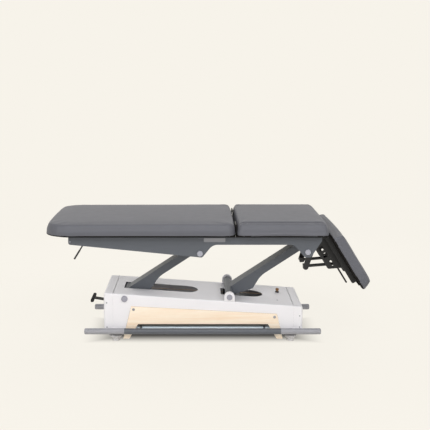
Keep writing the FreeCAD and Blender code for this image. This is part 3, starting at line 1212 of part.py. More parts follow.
def mid_board():
    """Board under the mid cushion, whose lip closes the gap to the long board beside the hinges."""
    root_x = MID_LEFT_X - BOARD_HINGE_INSET
    body = board(root_x - MID_BOARD_LIP, HEAD_HINGE_X - HEAD_BOARD_LEAD, FRAME_Z, 0, board_half())
    notch_half = HINGE_LENGTH / 2 + HINGE_NOTCH_GAP
    for y in (-HINGE_Y, HINGE_Y):
        body = body.cut(box(root_x - MID_BOARD_LIP - OVERRUN, root_x, y - notch_half, y + notch_half,
                            FRAME_Z - OVERRUN, BOARD_Z + OVERRUN))
    return body


# Hinge of the long section
def knuckle_spans(y):
    """Y ranges of the three knuckles of one hinge: outer, middle, outer."""
    step = HINGE_LENGTH / 3
    start = y - HINGE_LENGTH / 2
    return [(start, start + step), (start + step + KNUCKLE_GAP, start + 2 * step - KNUCKLE_GAP),
            (start + 2 * step, start + HINGE_LENGTH)]


def hinge_leaf(y, x0, x1, spans):
    pieces = []
    for y0, y1 in spans:
        pieces.append(box(x0, x1, y0, y1, FRAME_Z, HINGE_AXIS_Z))
        pieces.append(rod_y(HINGE_AXIS_X, HINGE_AXIS_Z, y0, y1, KNUCKLE_R))
    pieces.append(box(x0, x1, y - HINGE_LENGTH / 2, y + HINGE_LENGTH / 2,
                      FRAME_Z, HINGE_AXIS_Z - 2 * KNUCKLE_R))
    return join(*pieces)


def leaf_edges(outward):
    """X range of a leaf that lies against the end of its board."""
    face = HINGE_AXIS_X + outward * (CUSHION_GAP / 2 - BOARD_HINGE_INSET)
    return sorted((face, face - outward * LEAF_T))


def frame_hinge_leaves():
    """Leaves on the mid board, each with a middle knuckle, the hinge pin and a flange that closes the gap."""
    solids = []
    x0, x1 = leaf_edges(1)
    for y in (-HINGE_Y, HINGE_Y):
        leaf = hinge_leaf(y, x0, x1, knuckle_spans(y)[1:2])
        y0 = y - HINGE_LENGTH / 2
        y1 = y + HINGE_LENGTH / 2
        flange = box(x0 - LEAF_FLANGE, x0, y0, y1, FRAME_Z, FRAME_Z + LEAF_T)
        pin = rod_y(HINGE_AXIS_X, HINGE_AXIS_Z, y0, y1, HINGE_PIN_R)
        solids.append(join(leaf, flange, pin))
    return Part.makeCompound(solids)


def long_hinge_leaves():
    solids = []
    x0, x1 = leaf_edges(-1)
    for y in (-HINGE_Y, HINGE_Y):
        spans = knuckle_spans(y)
        leaf = hinge_leaf(y, x0, x1, [spans[0], spans[2]])
        solids.append(leaf.cut(rod_y(HINGE_AXIS_X, HINGE_AXIS_Z, y - HINGE_LENGTH, y + HINGE_LENGTH,
                                     HINGE_PIN_R + RUNNING_FIT)))
    return Part.makeCompound(solids)


# Long section
def long_subframe():
    """Two rails and three ties under the long board, with the spring's crank and the lever pin."""
    x0 = LONG_LEFT_X + SUB_LEFT_INSET
    x1 = LONG_RIGHT_X - SUB_RIGHT_INSET
    z0 = FRAME_Z - SUB_RAIL_H
    tie_z = FRAME_Z - SUB_TIE_H
    pieces = []
    for side in (-1, 1):
        y0, y1 = sorted((side * (SUB_RAIL_Y - SUB_RAIL_W / 2), side * (SUB_RAIL_Y + SUB_RAIL_W / 2)))
        pieces.append(box(x0, x1, y0, y1, z0, FRAME_Z))
    crank_x = LONG_RIGHT_X - SUB_SPRING_TIE_INSET
    for x in (x0 + SUB_TIE_W / 2, (x0 + crank_x) / 2, crank_x):
        pieces.append(box(x - SUB_TIE_W / 2, x + SUB_TIE_W / 2, -SUB_RAIL_Y, SUB_RAIL_Y, tie_z, FRAME_Z))
    head_x, head_z = SPRING_HEAD
    root = [(crank_x - SUB_TIE_W / 2, FRAME_Z, 0), (crank_x - SUB_TIE_W / 2, tie_z, 0),
            (head_x, head_z - SPRING_LUG_R, 0), (head_x, head_z + SPRING_LUG_R, 0),
            (crank_x + SUB_TIE_W / 2, FRAME_Z, 0)]
    pieces += spring_lugs(SPRING_HEAD, root)
    pieces.append(rod_y(TOP_LEFT_X + LONG_LEVER_X, z0 + SUB_RAIL_H / 2,
                        LONG_LEVER_Y - LEVER_HUB_W / 2, -SUB_RAIL_Y, LEVER_PIN_R))
    return join(*pieces)


def lever_end(x, z, length, angle):
    """End of a lever that hangs from (x, z), leaning towards -X by the angle."""
    lean = math.radians(angle)
    return (x - length * math.sin(lean), z - length * math.cos(lean))


def long_release_lever():
    x = TOP_LEFT_X + LONG_LEVER_X
    z = FRAME_Z - SUB_RAIL_H / 2
    end_x, end_z = lever_end(x, z, LONG_LEVER_LENGTH, LONG_LEVER_ANGLE)
    grip_x, grip_z = lever_end(x, z, LONG_LEVER_LENGTH - LEVER_GRIP_LENGTH, LONG_LEVER_ANGLE)
    hub = rod_y(x, z, LONG_LEVER_Y - LEVER_HUB_W / 2, LONG_LEVER_Y + LEVER_HUB_W / 2, LEVER_HUB_R)
    rod = rod_between(V(x, LONG_LEVER_Y, z), V(end_x, LONG_LEVER_Y, end_z), LEVER_ROD_R)
    grip = rod_between(V(grip_x, LONG_LEVER_Y, grip_z), V(end_x, LONG_LEVER_Y, end_z), LEVER_GRIP_R)
    lever = join(hub, rod, grip)
    bore = rod_y(x, z, LONG_LEVER_Y - LEVER_HUB_W, LONG_LEVER_Y + LEVER_HUB_W, LEVER_PIN_R + RUNNING_FIT)
    return lever.cut(bore)


def aim(shape, start, end):
    """Turn a shape built along +X from the origin so that it runs from start to end."""
    angle = math.degrees(math.atan2(end[1] - start[1], end[0] - start[0]))
    shape.rotate(V(0, 0, 0), V(0, 1, 0), -angle)
    shape.translate(V(start[0], 0, start[1]))
    return shape


def reach(start, end):
    return math.hypot(end[0] - start[0], end[1] - start[1])


def gas_spring_cylinder():
    """Cylinder of the long section's gas spring, its eye on the frame's pin."""
    tube_end = SPRING_TUBE_START + SPRING_TUBE_LENGTH
    tube = rod_x(0, 0, SPRING_TUBE_START, tube_end, SPRING_TUBE_R)
    neck = rod_x(0, 0, 0, SPRING_TUBE_START, SPRING_ROD_R)
    eye = rod_y(0, 0, -SPRING_EYE_W / 2, SPRING_EYE_W / 2, SPRING_EYE_R)
    body = join(tube, neck, eye).cut(rod_y(0, 0, -SPRING_EYE_W, SPRING_EYE_W, SPRING_PIN_R + RUNNING_FIT))
    bore = rod_x(0, 0, SPRING_TUBE_START + OVERRUN, tube_end + OVERRUN, SPRING_ROD_R + RUNNING_FIT)
    return aim(body.cut(bore), SPRING_FOOT, SPRING_HEAD)


def gas_spring_rod():
    """Piston rod; its eye is loose on the lug pin, because the linkage is open there."""
    length = reach(SPRING_FOOT, SPRING_HEAD)
    eye_bore = SPRING_PIN_R + SPRING_LOOSE
    rod = rod_x(0, 0, length - SPRING_ROD_IN, length - eye_bore, SPRING_ROD_R)
    eye = rod_y(length, 0, -SPRING_EYE_W / 2, SPRING_EYE_W / 2, eye_bore + SPRING_LOOSE_WALL)
    shape = join(rod, eye).cut(rod_y(length, 0, -SPRING_EYE_W, SPRING_EYE_W, eye_bore))
    return aim(shape, SPRING_FOOT, SPRING_HEAD)


# Head section, built level and then drooped about its hinge
def droop(shape):
    shape.rotate(V(HEAD_HINGE_X, 0, HEAD_HINGE_Z), V(0, 1, 0), HEAD_DROOP)
    return shape


def drooped_place(s, n):
    """Point s along the head section from its hinge and n above it, in the drooped pose."""
    c = math.cos(math.radians(HEAD_DROOP))
    d = math.sin(math.radians(HEAD_DROOP))
    return (HEAD_HINGE_X + s * c + n * d, HEAD_HINGE_Z - s * d + n * c)


def head_cushion():
    return droop(cushion(HEAD_LEFT_X, HEAD_LEFT_X + HEAD_LENGTH, HEAD_CUSHION_T,
                         (HEAD_INNER_CORNER_R, HEAD_CORNER_R),
                         (END_ROLL, HEAD_END_ROLL), 0, False))


def head_board():
    x1 = HEAD_LEFT_X + HEAD_LENGTH - BOARD_INSET
    end_r = HEAD_CORNER_R - BOARD_INSET
    return droop(board(HEAD_HINGE_X + HEAD_BOARD_LEAD, x1, FRAME_Z, end_r, board_half()))


def head_window(s0, s1, drop, height):
    """Cutter for an opening in the cheek plates, at a drop under the boards."""
    x0 = HEAD_HINGE_X + s0
    x1 = HEAD_HINGE_X + s1
    top = FRAME_Z - drop
    return plate([(x0, top, HEAD_WINDOW_R), (x1, top, HEAD_WINDOW_R), (x1, top - height, HEAD_WINDOW_R),
                  (x0, top - height, HEAD_WINDOW_R)], -HEAD_RAIL_Y, HEAD_RAIL_Y)


def head_cheek():
    """Far cheek plate that stiffens the head section between its ties, with two windows and a slot."""
    x0 = HEAD_HINGE_X + HEAD_CHEEK_START
    x1 = HEAD_HINGE_X + HEAD_CHEEK_END
    low = FRAME_Z - HEAD_CHEEK_DEPTH
    shallow = FRAME_Z - HEAD_CHEEK_SHALLOW
    outline = [(x0, FRAME_Z, 0), (x0, shallow, HEAD_CHEEK_CORNER_R),
               (x0 + HEAD_CHEEK_LEAD, low, HEAD_CHEEK_CORNER_R),
               (x1 - HEAD_CHEEK_LEAD, low, HEAD_CHEEK_CORNER_R),
               (x1, shallow, HEAD_CHEEK_CORNER_R), (x1, FRAME_Z, 0)]
    cheek = plate(outline, HEAD_CHEEK_Y - HEAD_CHEEK_T / 2, HEAD_CHEEK_Y + HEAD_CHEEK_T / 2)
    for s in (HEAD_WINDOW_S, HEAD_WINDOW_S + HEAD_WINDOW_PITCH):
        cheek = cheek.cut(head_window(s - HEAD_WINDOW_W / 2, s + HEAD_WINDOW_W / 2,
                                      HEAD_WINDOW_TOP, HEAD_WINDOW_W))
    return cheek.cut(head_window(HEAD_SLOT_START, HEAD_SLOT_END, HEAD_WINDOW_TOP, HEAD_SLOT_H))


def head_frame():
    """Two rails with hinge lugs, two ties, two cheeks, the lugs and pins of the struts and the lever pin."""
    x1 = HEAD_HINGE_X + HEAD_RAIL_LENGTH
    rail_z = FRAME_Z - HEAD_RAIL_H
    lug_x0 = HEAD_HINGE_X + STRUT_LUG_START
    lug_x1 = HEAD_HINGE_X + STRUT_LUG_END
    lug_z = FRAME_Z - STRUT_LUG_H
    pieces = [head_cheek(), far_copy(head_cheek())]
    for side in (-1, 1):
        y0, y1 = sorted((side * (HEAD_RAIL_Y - HEAD_RAIL_T / 2), side * (HEAD_RAIL_Y + HEAD_RAIL_T / 2)))
        pieces.append(plate([(HEAD_HINGE_X, FRAME_Z, 0), (HEAD_HINGE_X, rail_z, HEAD_RAIL_CORNER_R),
                             (x1, rail_z, HEAD_RAIL_CORNER_R), (x1, FRAME_Z, 0)], y0, y1))
        pieces.append(rod_y(HEAD_HINGE_X, HEAD_HINGE_Z, y0, y1, HEAD_LUG_R))
        y0, y1 = sorted((side * (STRUT_LUG_Y - STRUT_LUG_T / 2), side * (STRUT_LUG_Y + STRUT_LUG_T / 2)))
        pieces.append(plate([(lug_x0, FRAME_Z, 0), (lug_x0, lug_z, HEAD_RAIL_CORNER_R),
                             (lug_x1, lug_z, HEAD_RAIL_CORNER_R), (lug_x1, FRAME_Z, 0)], y0, y1))
        pin0, pin1 = sorted((side * STRUT_LUG_Y, side * (STRUT_Y - STRUT_EYE_W / 2 - STRUT_PIN_PAST)))
        pieces.append(rod_y(HEAD_HINGE_X + STRUT_HEAD_S, HEAD_HINGE_Z + STRUT_HEAD_N,
                            pin0, pin1, STRUT_PIN_R))
    for s in (HEAD_TIE_A, HEAD_TIE_B):
        x = HEAD_HINGE_X + s
        pieces.append(box(x - HEAD_TIE_W / 2, x + HEAD_TIE_W / 2, -HEAD_RAIL_Y, HEAD_RAIL_Y,
                          FRAME_Z - HEAD_TIE_H, FRAME_Z))
    pieces.append(rod_y(HEAD_HINGE_X + HEAD_LEVER_S, HEAD_HINGE_Z + HEAD_LEVER_N,
                        HEAD_LEVER_Y - HEAD_LEVER_HUB_W / 2, -STRUT_LUG_Y, LEVER_PIN_R))
    frame = join(*pieces)
    bore = rod_y(HEAD_HINGE_X, HEAD_HINGE_Z, -COUCH_HALF, COUCH_HALF, HEAD_PIN_R + RUNNING_FIT)
    return droop(frame.cut(bore))


def head_hinge_plate():
    """Far arm from the right cross member to the head hinge, with the hinge pin."""
    y0 = HEAD_RAIL_Y + HEAD_RAIL_T / 2 + HANGER_SIDE_GAP
    y1 = y0 + HANGER_PLATE_T
    root_x = RIGHT_CROSS_X + CROSS_W / 2
    top_z = FRAME_Z - CROSS_DROP
    arm = plate([(root_x, top_z - CROSS_H, 0), (root_x, top_z, 0),
                 (HEAD_HINGE_X, HEAD_HINGE_Z + HEAD_LUG_R / 2, 0),
                 (HEAD_HINGE_X + HEAD_LUG_R / 2, HEAD_HINGE_Z - HEAD_LUG_R / 2, 0)], y0, y1)
    return join(arm, rod_y(HEAD_HINGE_X, HEAD_HINGE_Z, y0, y1, HEAD_LUG_R),
                rod_y(HEAD_HINGE_X, HEAD_HINGE_Z, HEAD_RAIL_Y - HEAD_RAIL_T / 2, y1, HEAD_PIN_R))


def strut_hanger():
    """Far leg from the right cross member down to the strut, with the trunnion pin."""
    y0 = STRUT_LUG_Y + STRUT_LUG_T / 2 + HANGER_SIDE_GAP
    y1 = y0 + HANGER_PLATE_T
    foot_x, foot_z = STRUT_FOOT
    root_x = RIGHT_CROSS_X + CROSS_W / 2
    top_z = FRAME_Z - CROSS_DROP
    leg = plate([(root_x, top_z, 0), (foot_x - HANGER_EDGE_R, foot_z, 0), (foot_x + HANGER_EDGE_R, foot_z, 0),
                 (root_x + HANGER_ARM_W, top_z - HANGER_NECK_DROP, HANGER_EDGE_R),
                 (root_x + HANGER_ARM_W, top_z, 0)], y0, y1)
    beam_room = box(foot_x - BASE_WIDTH, root_x, y0 - OVERRUN, y1 + OVERRUN, top_z - CROSS_H, COUCH_Z)
    pin_in = STRUT_Y + TRUNNION_W / 2 - TRUNNION_DEPTH
    return join(leg.cut(beam_room), rod_y(foot_x, foot_z, y0, y1, HANGER_EDGE_R),
                rod_y(foot_x, foot_z, pin_in, y1, TRUNNION_PIN_R))


def head_hangers():
    solids = [head_hinge_plate(), strut_hanger()]
    return Part.makeCompound(solids + [far_copy(s) for s in solids])


def strut_head():
    return drooped_place(STRUT_HEAD_S, STRUT_HEAD_N)


def strut_tube():
    """Far strut tube in its trunnion block, with a collar."""
    tube = rod_x(0, 0, 0, STRUT_TUBE_REACH, STRUT_TUBE_R)
    collar = rod_x(0, 0, STRUT_COLLAR_AT, STRUT_COLLAR_AT + STRUT_COLLAR_W, STRUT_COLLAR_R)
    block = box(-TRUNNION_H / 2, TRUNNION_H / 2, -TRUNNION_W / 2, TRUNNION_W / 2,
                -TRUNNION_H / 2, TRUNNION_H / 2)
    body = join(tube, collar, block)
    body = body.cut(rod_x(0, 0, -TRUNNION_H / 2 + STRUT_END_WALL, STRUT_TUBE_REACH + OVERRUN,
                          STRUT_ROD_R + RUNNING_FIT))
    body = body.cut(rod_y(0, 0, TRUNNION_W / 2 - TRUNNION_DEPTH - SEAM, TRUNNION_W,
                          TRUNNION_PIN_R + RUNNING_FIT))
    body = aim(body, STRUT_FOOT, strut_head())
    body.translate(V(0, STRUT_Y, 0))
    return body


def strut_rod():
    """Far strut rod; its eye is loose on the head frame's pin, because the linkage is open there."""
    length = reach(STRUT_FOOT, strut_head())
    eye_bore = STRUT_PIN_R + STRUT_LOOSE
    rod = rod_x(0, 0, -TRUNNION_H / 2 + STRUT_END_WALL + PASSING_GAP, length - eye_bore, STRUT_ROD_R)
    eye = rod_y(length, 0, -STRUT_EYE_W / 2, STRUT_EYE_W / 2, eye_bore + STRUT_EYE_WALL)
    shape = join(rod, eye).cut(rod_y(length, 0, -STRUT_EYE_W, STRUT_EYE_W, eye_bore))
    shape = aim(shape, STRUT_FOOT, strut_head())
    shape.translate(V(0, STRUT_Y, 0))
    return shape


def head_release_lever():
    """Cranked rod beside the near rail, parallel to it."""
    x = HEAD_HINGE_X + HEAD_LEVER_S
    z = HEAD_HINGE_Z + HEAD_LEVER_N
    rod_zed = HEAD_HINGE_Z - HEAD_LEVER_OFFSET
    bend = V(HEAD_HINGE_X + HEAD_LEVER_BEND_S, HEAD_LEVER_Y, rod_zed)
    end = V(HEAD_HINGE_X + HEAD_LEVER_END_S, HEAD_LEVER_Y, rod_zed)
    hub = rod_y(x, z, HEAD_LEVER_Y - HEAD_LEVER_HUB_W / 2, HEAD_LEVER_Y + HEAD_LEVER_HUB_W / 2, LEVER_HUB_R)
    lever = join(hub, rod_between(V(x, HEAD_LEVER_Y, z), bend, HEAD_LEVER_R),
                 rod_between(bend, end, HEAD_LEVER_R),
                 Part.makeSphere(HEAD_LEVER_R, bend), Part.makeSphere(HEAD_LEVER_R, end))
    bore = rod_y(x, z, HEAD_LEVER_Y - HEAD_LEVER_HUB_W, HEAD_LEVER_Y + HEAD_LEVER_HUB_W,
                 LEVER_PIN_R + RUNNING_FIT)
    return droop(lever.cut(bore))


def all_pieces():
    """Every named piece of the table with its shape."""
    pieces = {
        "chassis": chassis(),
        "base_cover": base_cover(),
        "left_end_cover": left_end_cover(),
        "right_end_cover": right_end_cover(),
        "casing_screws": casing_screws(),
        "base_pivot_shafts": base_pivot_shafts(),
        "base_pivot_caps": base_pivot_caps(),
        "control_box": control_box(),
        "mains_inlet": mains_inlet(),
        "key_switch": key_switch(),
        "key": key(),
        "lift_actuator": lift_actuator(),
        "actuator_rod": actuator_rod(),
        "castor_carriage": castor_carriage(),
        "pedal_stem": pedal_stem(),
        "pedal_tread": pedal_tread(),
        "left_lift_arm": left_lift_arm(),
        "right_lift_arm": right_lift_arm(),
        "frame_cross_members": frame_cross_members(),
        "upper_pivot_shafts": upper_pivot_shafts(),
        "frame_caps": frame_caps(),
        "bare_plate": bare_plate(),
        "mid_board": mid_board(),
        "mid_cushion": mid_cushion(),
        "frame_hinge_leaves": frame_hinge_leaves(),
        "long_hinge_leaves": long_hinge_leaves(),
        "long_board": long_board(),
        "long_cushion": long_cushion(),
        "long_subframe": long_subframe(),
        "long_release_lever": long_release_lever(),
        "gas_spring_cylinder": gas_spring_cylinder(),
        "gas_spring_rod": gas_spring_rod(),
        "head_board": head_board(),
        "head_cushion": head_cushion(),
        "head_frame": head_frame(),
        "head_hangers": head_hangers(),
        "head_release_lever": head_release_lever(),
        "polished_tubes": both_sides(rod_x(TUBE_Y, TUBE_Z, TUBE_LEFT_X, TUBE_RIGHT_X, TUBE_R)),
        "bearing_brackets": both_sides(bearing_bracket()),
        "levelling_feet": Part.makeCompound([foot(x, side * FOOT_Y) for x in (LEFT_FOOT_X, RIGHT_FOOT_X)
                                             for side in (-1, 1)]),
    }
    mirrored = {"birch_panel": birch_panel(), "foot_bar": foot_bar(), "foot_bar_ends": foot_bar_ends(),
                "side_plate": side_plate(), "strut_tube": strut_tube(), "strut_rod": strut_rod()}
    for name, shape in mirrored.items():
        pieces["far_" + name] = shape
        pieces["near_" + name] = far_copy(shape)
    for end, x in (("left", LEFT_FOOT_X), ("right", RIGHT_FOOT_X)):
        for side, y in (("near", -CASTOR_Y), ("far", CASTOR_Y)):
            pieces["%s_%s_castor_fork" % (side, end)] = castor_fork(x, y)
            pieces["%s_%s_castor_wheel" % (side, end)] = castor_wheel(x, y)
    return pieces


def middle_x(shapes):
    """Middle of the whole table along X, so that the origin lies under it."""
    low = min(shape.optimalBoundingBox(False).XMin for shape in shapes)
    high = max(shape.optimalBoundingBox(False).XMax for shape in shapes)
    return (low + high) / 2


PIECES = all_pieces()
MIDDLE_X = middle_x([PIECES["long_cushion"], PIECES["head_cushion"]])
os.makedirs("parts", exist_ok=True)
for name, shape in PIECES.items():
    shape.translate(V(-MIDDLE_X, 0, 0))
    shape.exportStep("parts/%s.step" % name)
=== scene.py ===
"""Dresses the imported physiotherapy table: padded cushions, small fittings, finishes and a pale stage."""

import json
import math

import bmesh
import bpy
from mathutils import Matrix, Vector
from mathutils.bvhtree import BVHTree


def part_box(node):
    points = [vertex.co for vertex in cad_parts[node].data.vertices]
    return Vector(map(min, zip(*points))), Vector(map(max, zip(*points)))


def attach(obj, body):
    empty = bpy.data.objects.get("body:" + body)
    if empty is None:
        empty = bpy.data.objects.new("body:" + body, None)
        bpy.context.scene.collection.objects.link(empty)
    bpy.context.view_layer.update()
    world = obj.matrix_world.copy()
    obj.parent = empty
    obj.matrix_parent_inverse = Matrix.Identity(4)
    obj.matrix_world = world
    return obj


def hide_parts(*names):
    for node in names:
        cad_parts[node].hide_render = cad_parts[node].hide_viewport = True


bl_info = {
    "name": "Physiotherapy table dressing",
    "version": (1, 0, 0),
    "blender": (4, 5, 0),
    "location": "3D View > Sidebar > Table",
    "description": "Cushions, fittings, finishes and stage of a physiotherapy table",
    "category": "Object",
}

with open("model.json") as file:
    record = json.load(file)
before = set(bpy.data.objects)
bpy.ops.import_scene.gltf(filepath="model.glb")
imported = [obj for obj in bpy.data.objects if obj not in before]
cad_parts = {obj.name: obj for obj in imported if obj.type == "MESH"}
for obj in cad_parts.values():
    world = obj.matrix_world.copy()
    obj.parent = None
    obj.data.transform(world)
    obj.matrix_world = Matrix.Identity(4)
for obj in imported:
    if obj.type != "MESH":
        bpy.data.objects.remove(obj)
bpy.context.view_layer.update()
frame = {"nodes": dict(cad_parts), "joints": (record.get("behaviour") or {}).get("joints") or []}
NODES = frame["nodes"]
MM = 0.001
BOTH_WAYS = (-1.0, 1.0)

# Which finish each carried-over piece of the frame wears
DARK_PAINT = (
    "near_side_plate", "far_side_plate", "left_lift_arm", "right_lift_arm", "near_foot_bar", "far_foot_bar",
)
PALE_PAINT = ("base_cover", "left_end_cover", "right_end_cover", "bearing_brackets")
CASTORS = ("near_left", "near_right", "far_left", "far_right")
BLACK_ENAMEL = (
    "chassis", "castor_carriage", "frame_cross_members", "long_subframe", "head_frame", "head_hangers",
    "pedal_stem", "long_release_lever", "head_release_lever", "frame_hinge_leaves", "long_hinge_leaves",
    "near_strut_tube", "far_strut_tube", "gas_spring_cylinder",
) + tuple(corner + "_castor_fork" for corner in CASTORS)
BIRCH_PANELS = ("near_birch_panel", "far_birch_panel")
BLACK_BOARDS = ("long_board", "mid_board", "head_board")
POLISHED_TUBES = ("polished_tubes",)
GROUND_STEEL = (
    "base_pivot_shafts", "upper_pivot_shafts", "actuator_rod", "gas_spring_rod", "near_strut_rod",
    "far_strut_rod",
)
BLANK_PLATES = ("bare_plate",)
KEYS = ("key",)
PALE_CAPS = ("frame_caps",)
FEET = ("levelling_feet",)
MID_CAPS = ("base_pivot_caps",)
BAR_SLEEVES = ("near_foot_bar_ends", "far_foot_bar_ends")
BLACK_MOULDINGS = ("control_box", "mains_inlet", "key_switch", "lift_actuator")

# Materials that several pieces share
LEATHERETTE = "PVC leatherette, embossed"
STAINED_BOARD = "Plywood, stained black"
ZINC_PLATE = "Zinc plate, passivated"
RUBBER = "Rubber, moulded"

# Padding of the cushions
SMOOTHING = 0.5  # share of the way that one pass moves a point towards its neighbours
EASE_PASSES = 3  # once the skin is laid
SOFTEN_PASSES = 10  # once it is padded
CLOTH_FRAMES = 20  # until the cover has come to rest
FLAT_FROM = 0.55  # upward part of the normal at which the rounded edge begins to count as top
SEAM_FACING = 0.25  # least upward part of the normal where a seam is pressed in
SEAM_SPREAD = 3.0  # half widths from a seam at which its channel has run out

# Small fittings: lengths in millimetres, profiles as (distance along the axis, radius)
STITCH_MARGIN = 24.0
STITCH_PROUD = 0.35  # thread radii by which a stitch stands out of the cover
STITCH_PROFILE = ((0.0, 0.2), (0.08, 0.75), (0.3, 1.0), (0.7, 1.0), (0.92, 0.75), (1.0, 0.2))
SCREW_REACH = 30.0
SCREW_PROFILE = ((0.0, 1.0), (0.35, 1.0), (0.72, 0.86), (0.96, 0.6), (1.0, 0.5), (0.9, 0.42), (0.3, 0.4))
SOCKET_FROM = 5  # first ring of the profile that lies in the hexagon socket
RIB_DEPTH = 1.4
RIB_STATIONS = ((0.0, RIB_DEPTH), (0.22, 0.0), (0.78, 0.0))  # share of a rib's pitch, depth of the groove
TREAD_STEPS = 32
TREAD_CORNER = 0.55  # corner radius as a share of the tread's half thickness
TREAD_SQUARENESS = 2.2  # how soon a corner of the tread turns into its flat side
AXLE_RADIUS = 6.0
BOSS_RADIUS = 9.0
HUB_SHARE = 0.73  # of a castor's radius, within which it is nylon
FOOT_REACH = 60.0
NUT_PROFILE = ((-5.8, 8.2), (-5.8, 10.6), (-5.0, 11.6), (-1.2, 11.6), (-0.4, 10.6), (-0.4, 8.2))
NUT_FLATS = (2, 3)  # rings of the profile that are hexagons
INLET_DEPTH = 16.5
PIN_PLACES = ((-7.0, -2.5), (0.0, 3.0), (7.0, -2.5))
PIN_STATIONS = ((0.0, 1.0), (11.0, 1.0), (12.5, 0.6))  # distance from the inlet's floor, share of the section
PIN_HALF_WIDTH = 1.0
PIN_HALF_HEIGHT = 2.2

# Stage. Four low softboxes, so that light also reaches the casing under the couch, and a high one for its edges
SOFTBOXES = (
    ("Front left softbox", (-2.7, -3.6, 2.1), 46.0),
    ("Front right softbox", (2.7, -3.6, 2.1), 42.0),
    ("Front high softbox", (0.0, -2.7, 3.4), 62.0),
    ("Back left softbox", (-2.4, 3.4, 2.1), 78.0),
    ("Back right softbox", (2.4, 3.4, 2.1), 78.0),
)
SOFTBOX_TARGET = (0.0, 0.0, 0.45)
SOFTBOX_SIZE = 2.6
FILL_LIGHT = 0.42
FLOOR_GLOW = 0.9  # share of the floor that is shown in its plain colour, without shading
# The floor's dark patch under the base is a painted shadow, drawn into its plain colour
SHADOW_TONE = 0.06  # what is left of the floor's colour where its dark patch is deepest
SHADOW_SLOPE = 0.55  # how quickly the patch ends along the base, against across it
SHADOW_OVERRUN = 60.0
FADE_SHARES = (0.3, 0.95)  # of the stage's radius, between which the floor fades out
CAMERA_PLACE = (-0.0618, -4.573, 1.554)
CAMERA_TILT = 6.53
CAMERA_SHIFT = (0.042, -0.1287)
SENSOR_WIDTH = 36.0


def linear(code):
    """Linear colour of an sRGB hex value such as #808080."""
    parts = [int(code[i:i + 2], 16) / 255.0 for i in (1, 3, 5)]
    return tuple(p / 12.92 if p <= 0.04045 else ((p + 0.055) / 1.055) ** 2.4 for p in parts) + (1.0,)


def colour_setting(label, about, code):
    return bpy.props.FloatVectorProperty(
        name=label, description=about, default=linear(code), size=4, min=0.0, max=1.0, subtype="COLOR")


def length_setting(label, about, millimetres):
    return bpy.props.FloatProperty(
        name=label, description=about, default=millimetres * MM, min=0.0, unit="LENGTH", subtype="DISTANCE")


class TableColours(bpy.types.PropertyGroup):
    leatherette: colour_setting("Leatherette", "Cover of the three cushions", "#5D5E65")
    thread: colour_setting("Thread", "Thread of the sewn lines", "#55565B")
    dark_paint: colour_setting("Dark paint", "Side plates, arms and foot bars", "#585C63")
    pale_paint: colour_setting("Pale paint", "Casing of the base", "#EDEBEE")
    enamel: colour_setting("Black enamel", "Mechanism and subframes", "#1C1C1E")
    birch_pale: colour_setting("Birch, early wood", "Pale part of the birch grain", "#FFF1DE")
    birch_dark: colour_setting("Birch, late wood", "Darker part of the birch grain", "#F8DEC0")
    birch_glue: colour_setting("Birch, cross plies", "Plies that show end grain on the panel edge", "#C79F73")
    board: colour_setting("Stained board", "Boards under the cushions", "#1A1817")
    # Pale blue that stands for the polished tubes' reflection of the bright surroundings: a painted reflection
    polished: colour_setting("Polished steel", "Tubes behind the panel cut-outs", "#DCEAF4")
    ground: colour_setting("Ground steel", "Shafts and piston rods", "#B4B5B9")
    zinc: colour_setting("Zinc plate", "Screws and lock nuts", "#A2A3A8")
    pale_cap: colour_setting("Pale moulding", "Upper pivot caps", "#A6A7B1")
    foot: colour_setting("Foot moulding", "Levelling feet", "#D4D2D3")
    mid_cap: colour_setting("Mid grey moulding", "Lower pivot caps", "#9A99A3")
    sleeve: colour_setting("Sleeve moulding", "Sleeves on the foot bars", "#9A9AA0")
    black_plastic: colour_setting("Black moulding", "Drive, inlet and switch housings", "#1B1B1D")
    rubber: colour_setting("Rubber", "Pedal tread and tyres", "#19191A")
    hub: colour_setting("Castor hub", "Hubs of the castor wheels", "#3A3B3E")
    plate: colour_setting("Bare plate", "Blank plate on the side of the frame", "#8C8D93")
    key: colour_setting("Key", "Key in the lock switch", "#8B6A4C")
    floor: colour_setting("Floor", "Studio floor and background", "#F7F3EA")


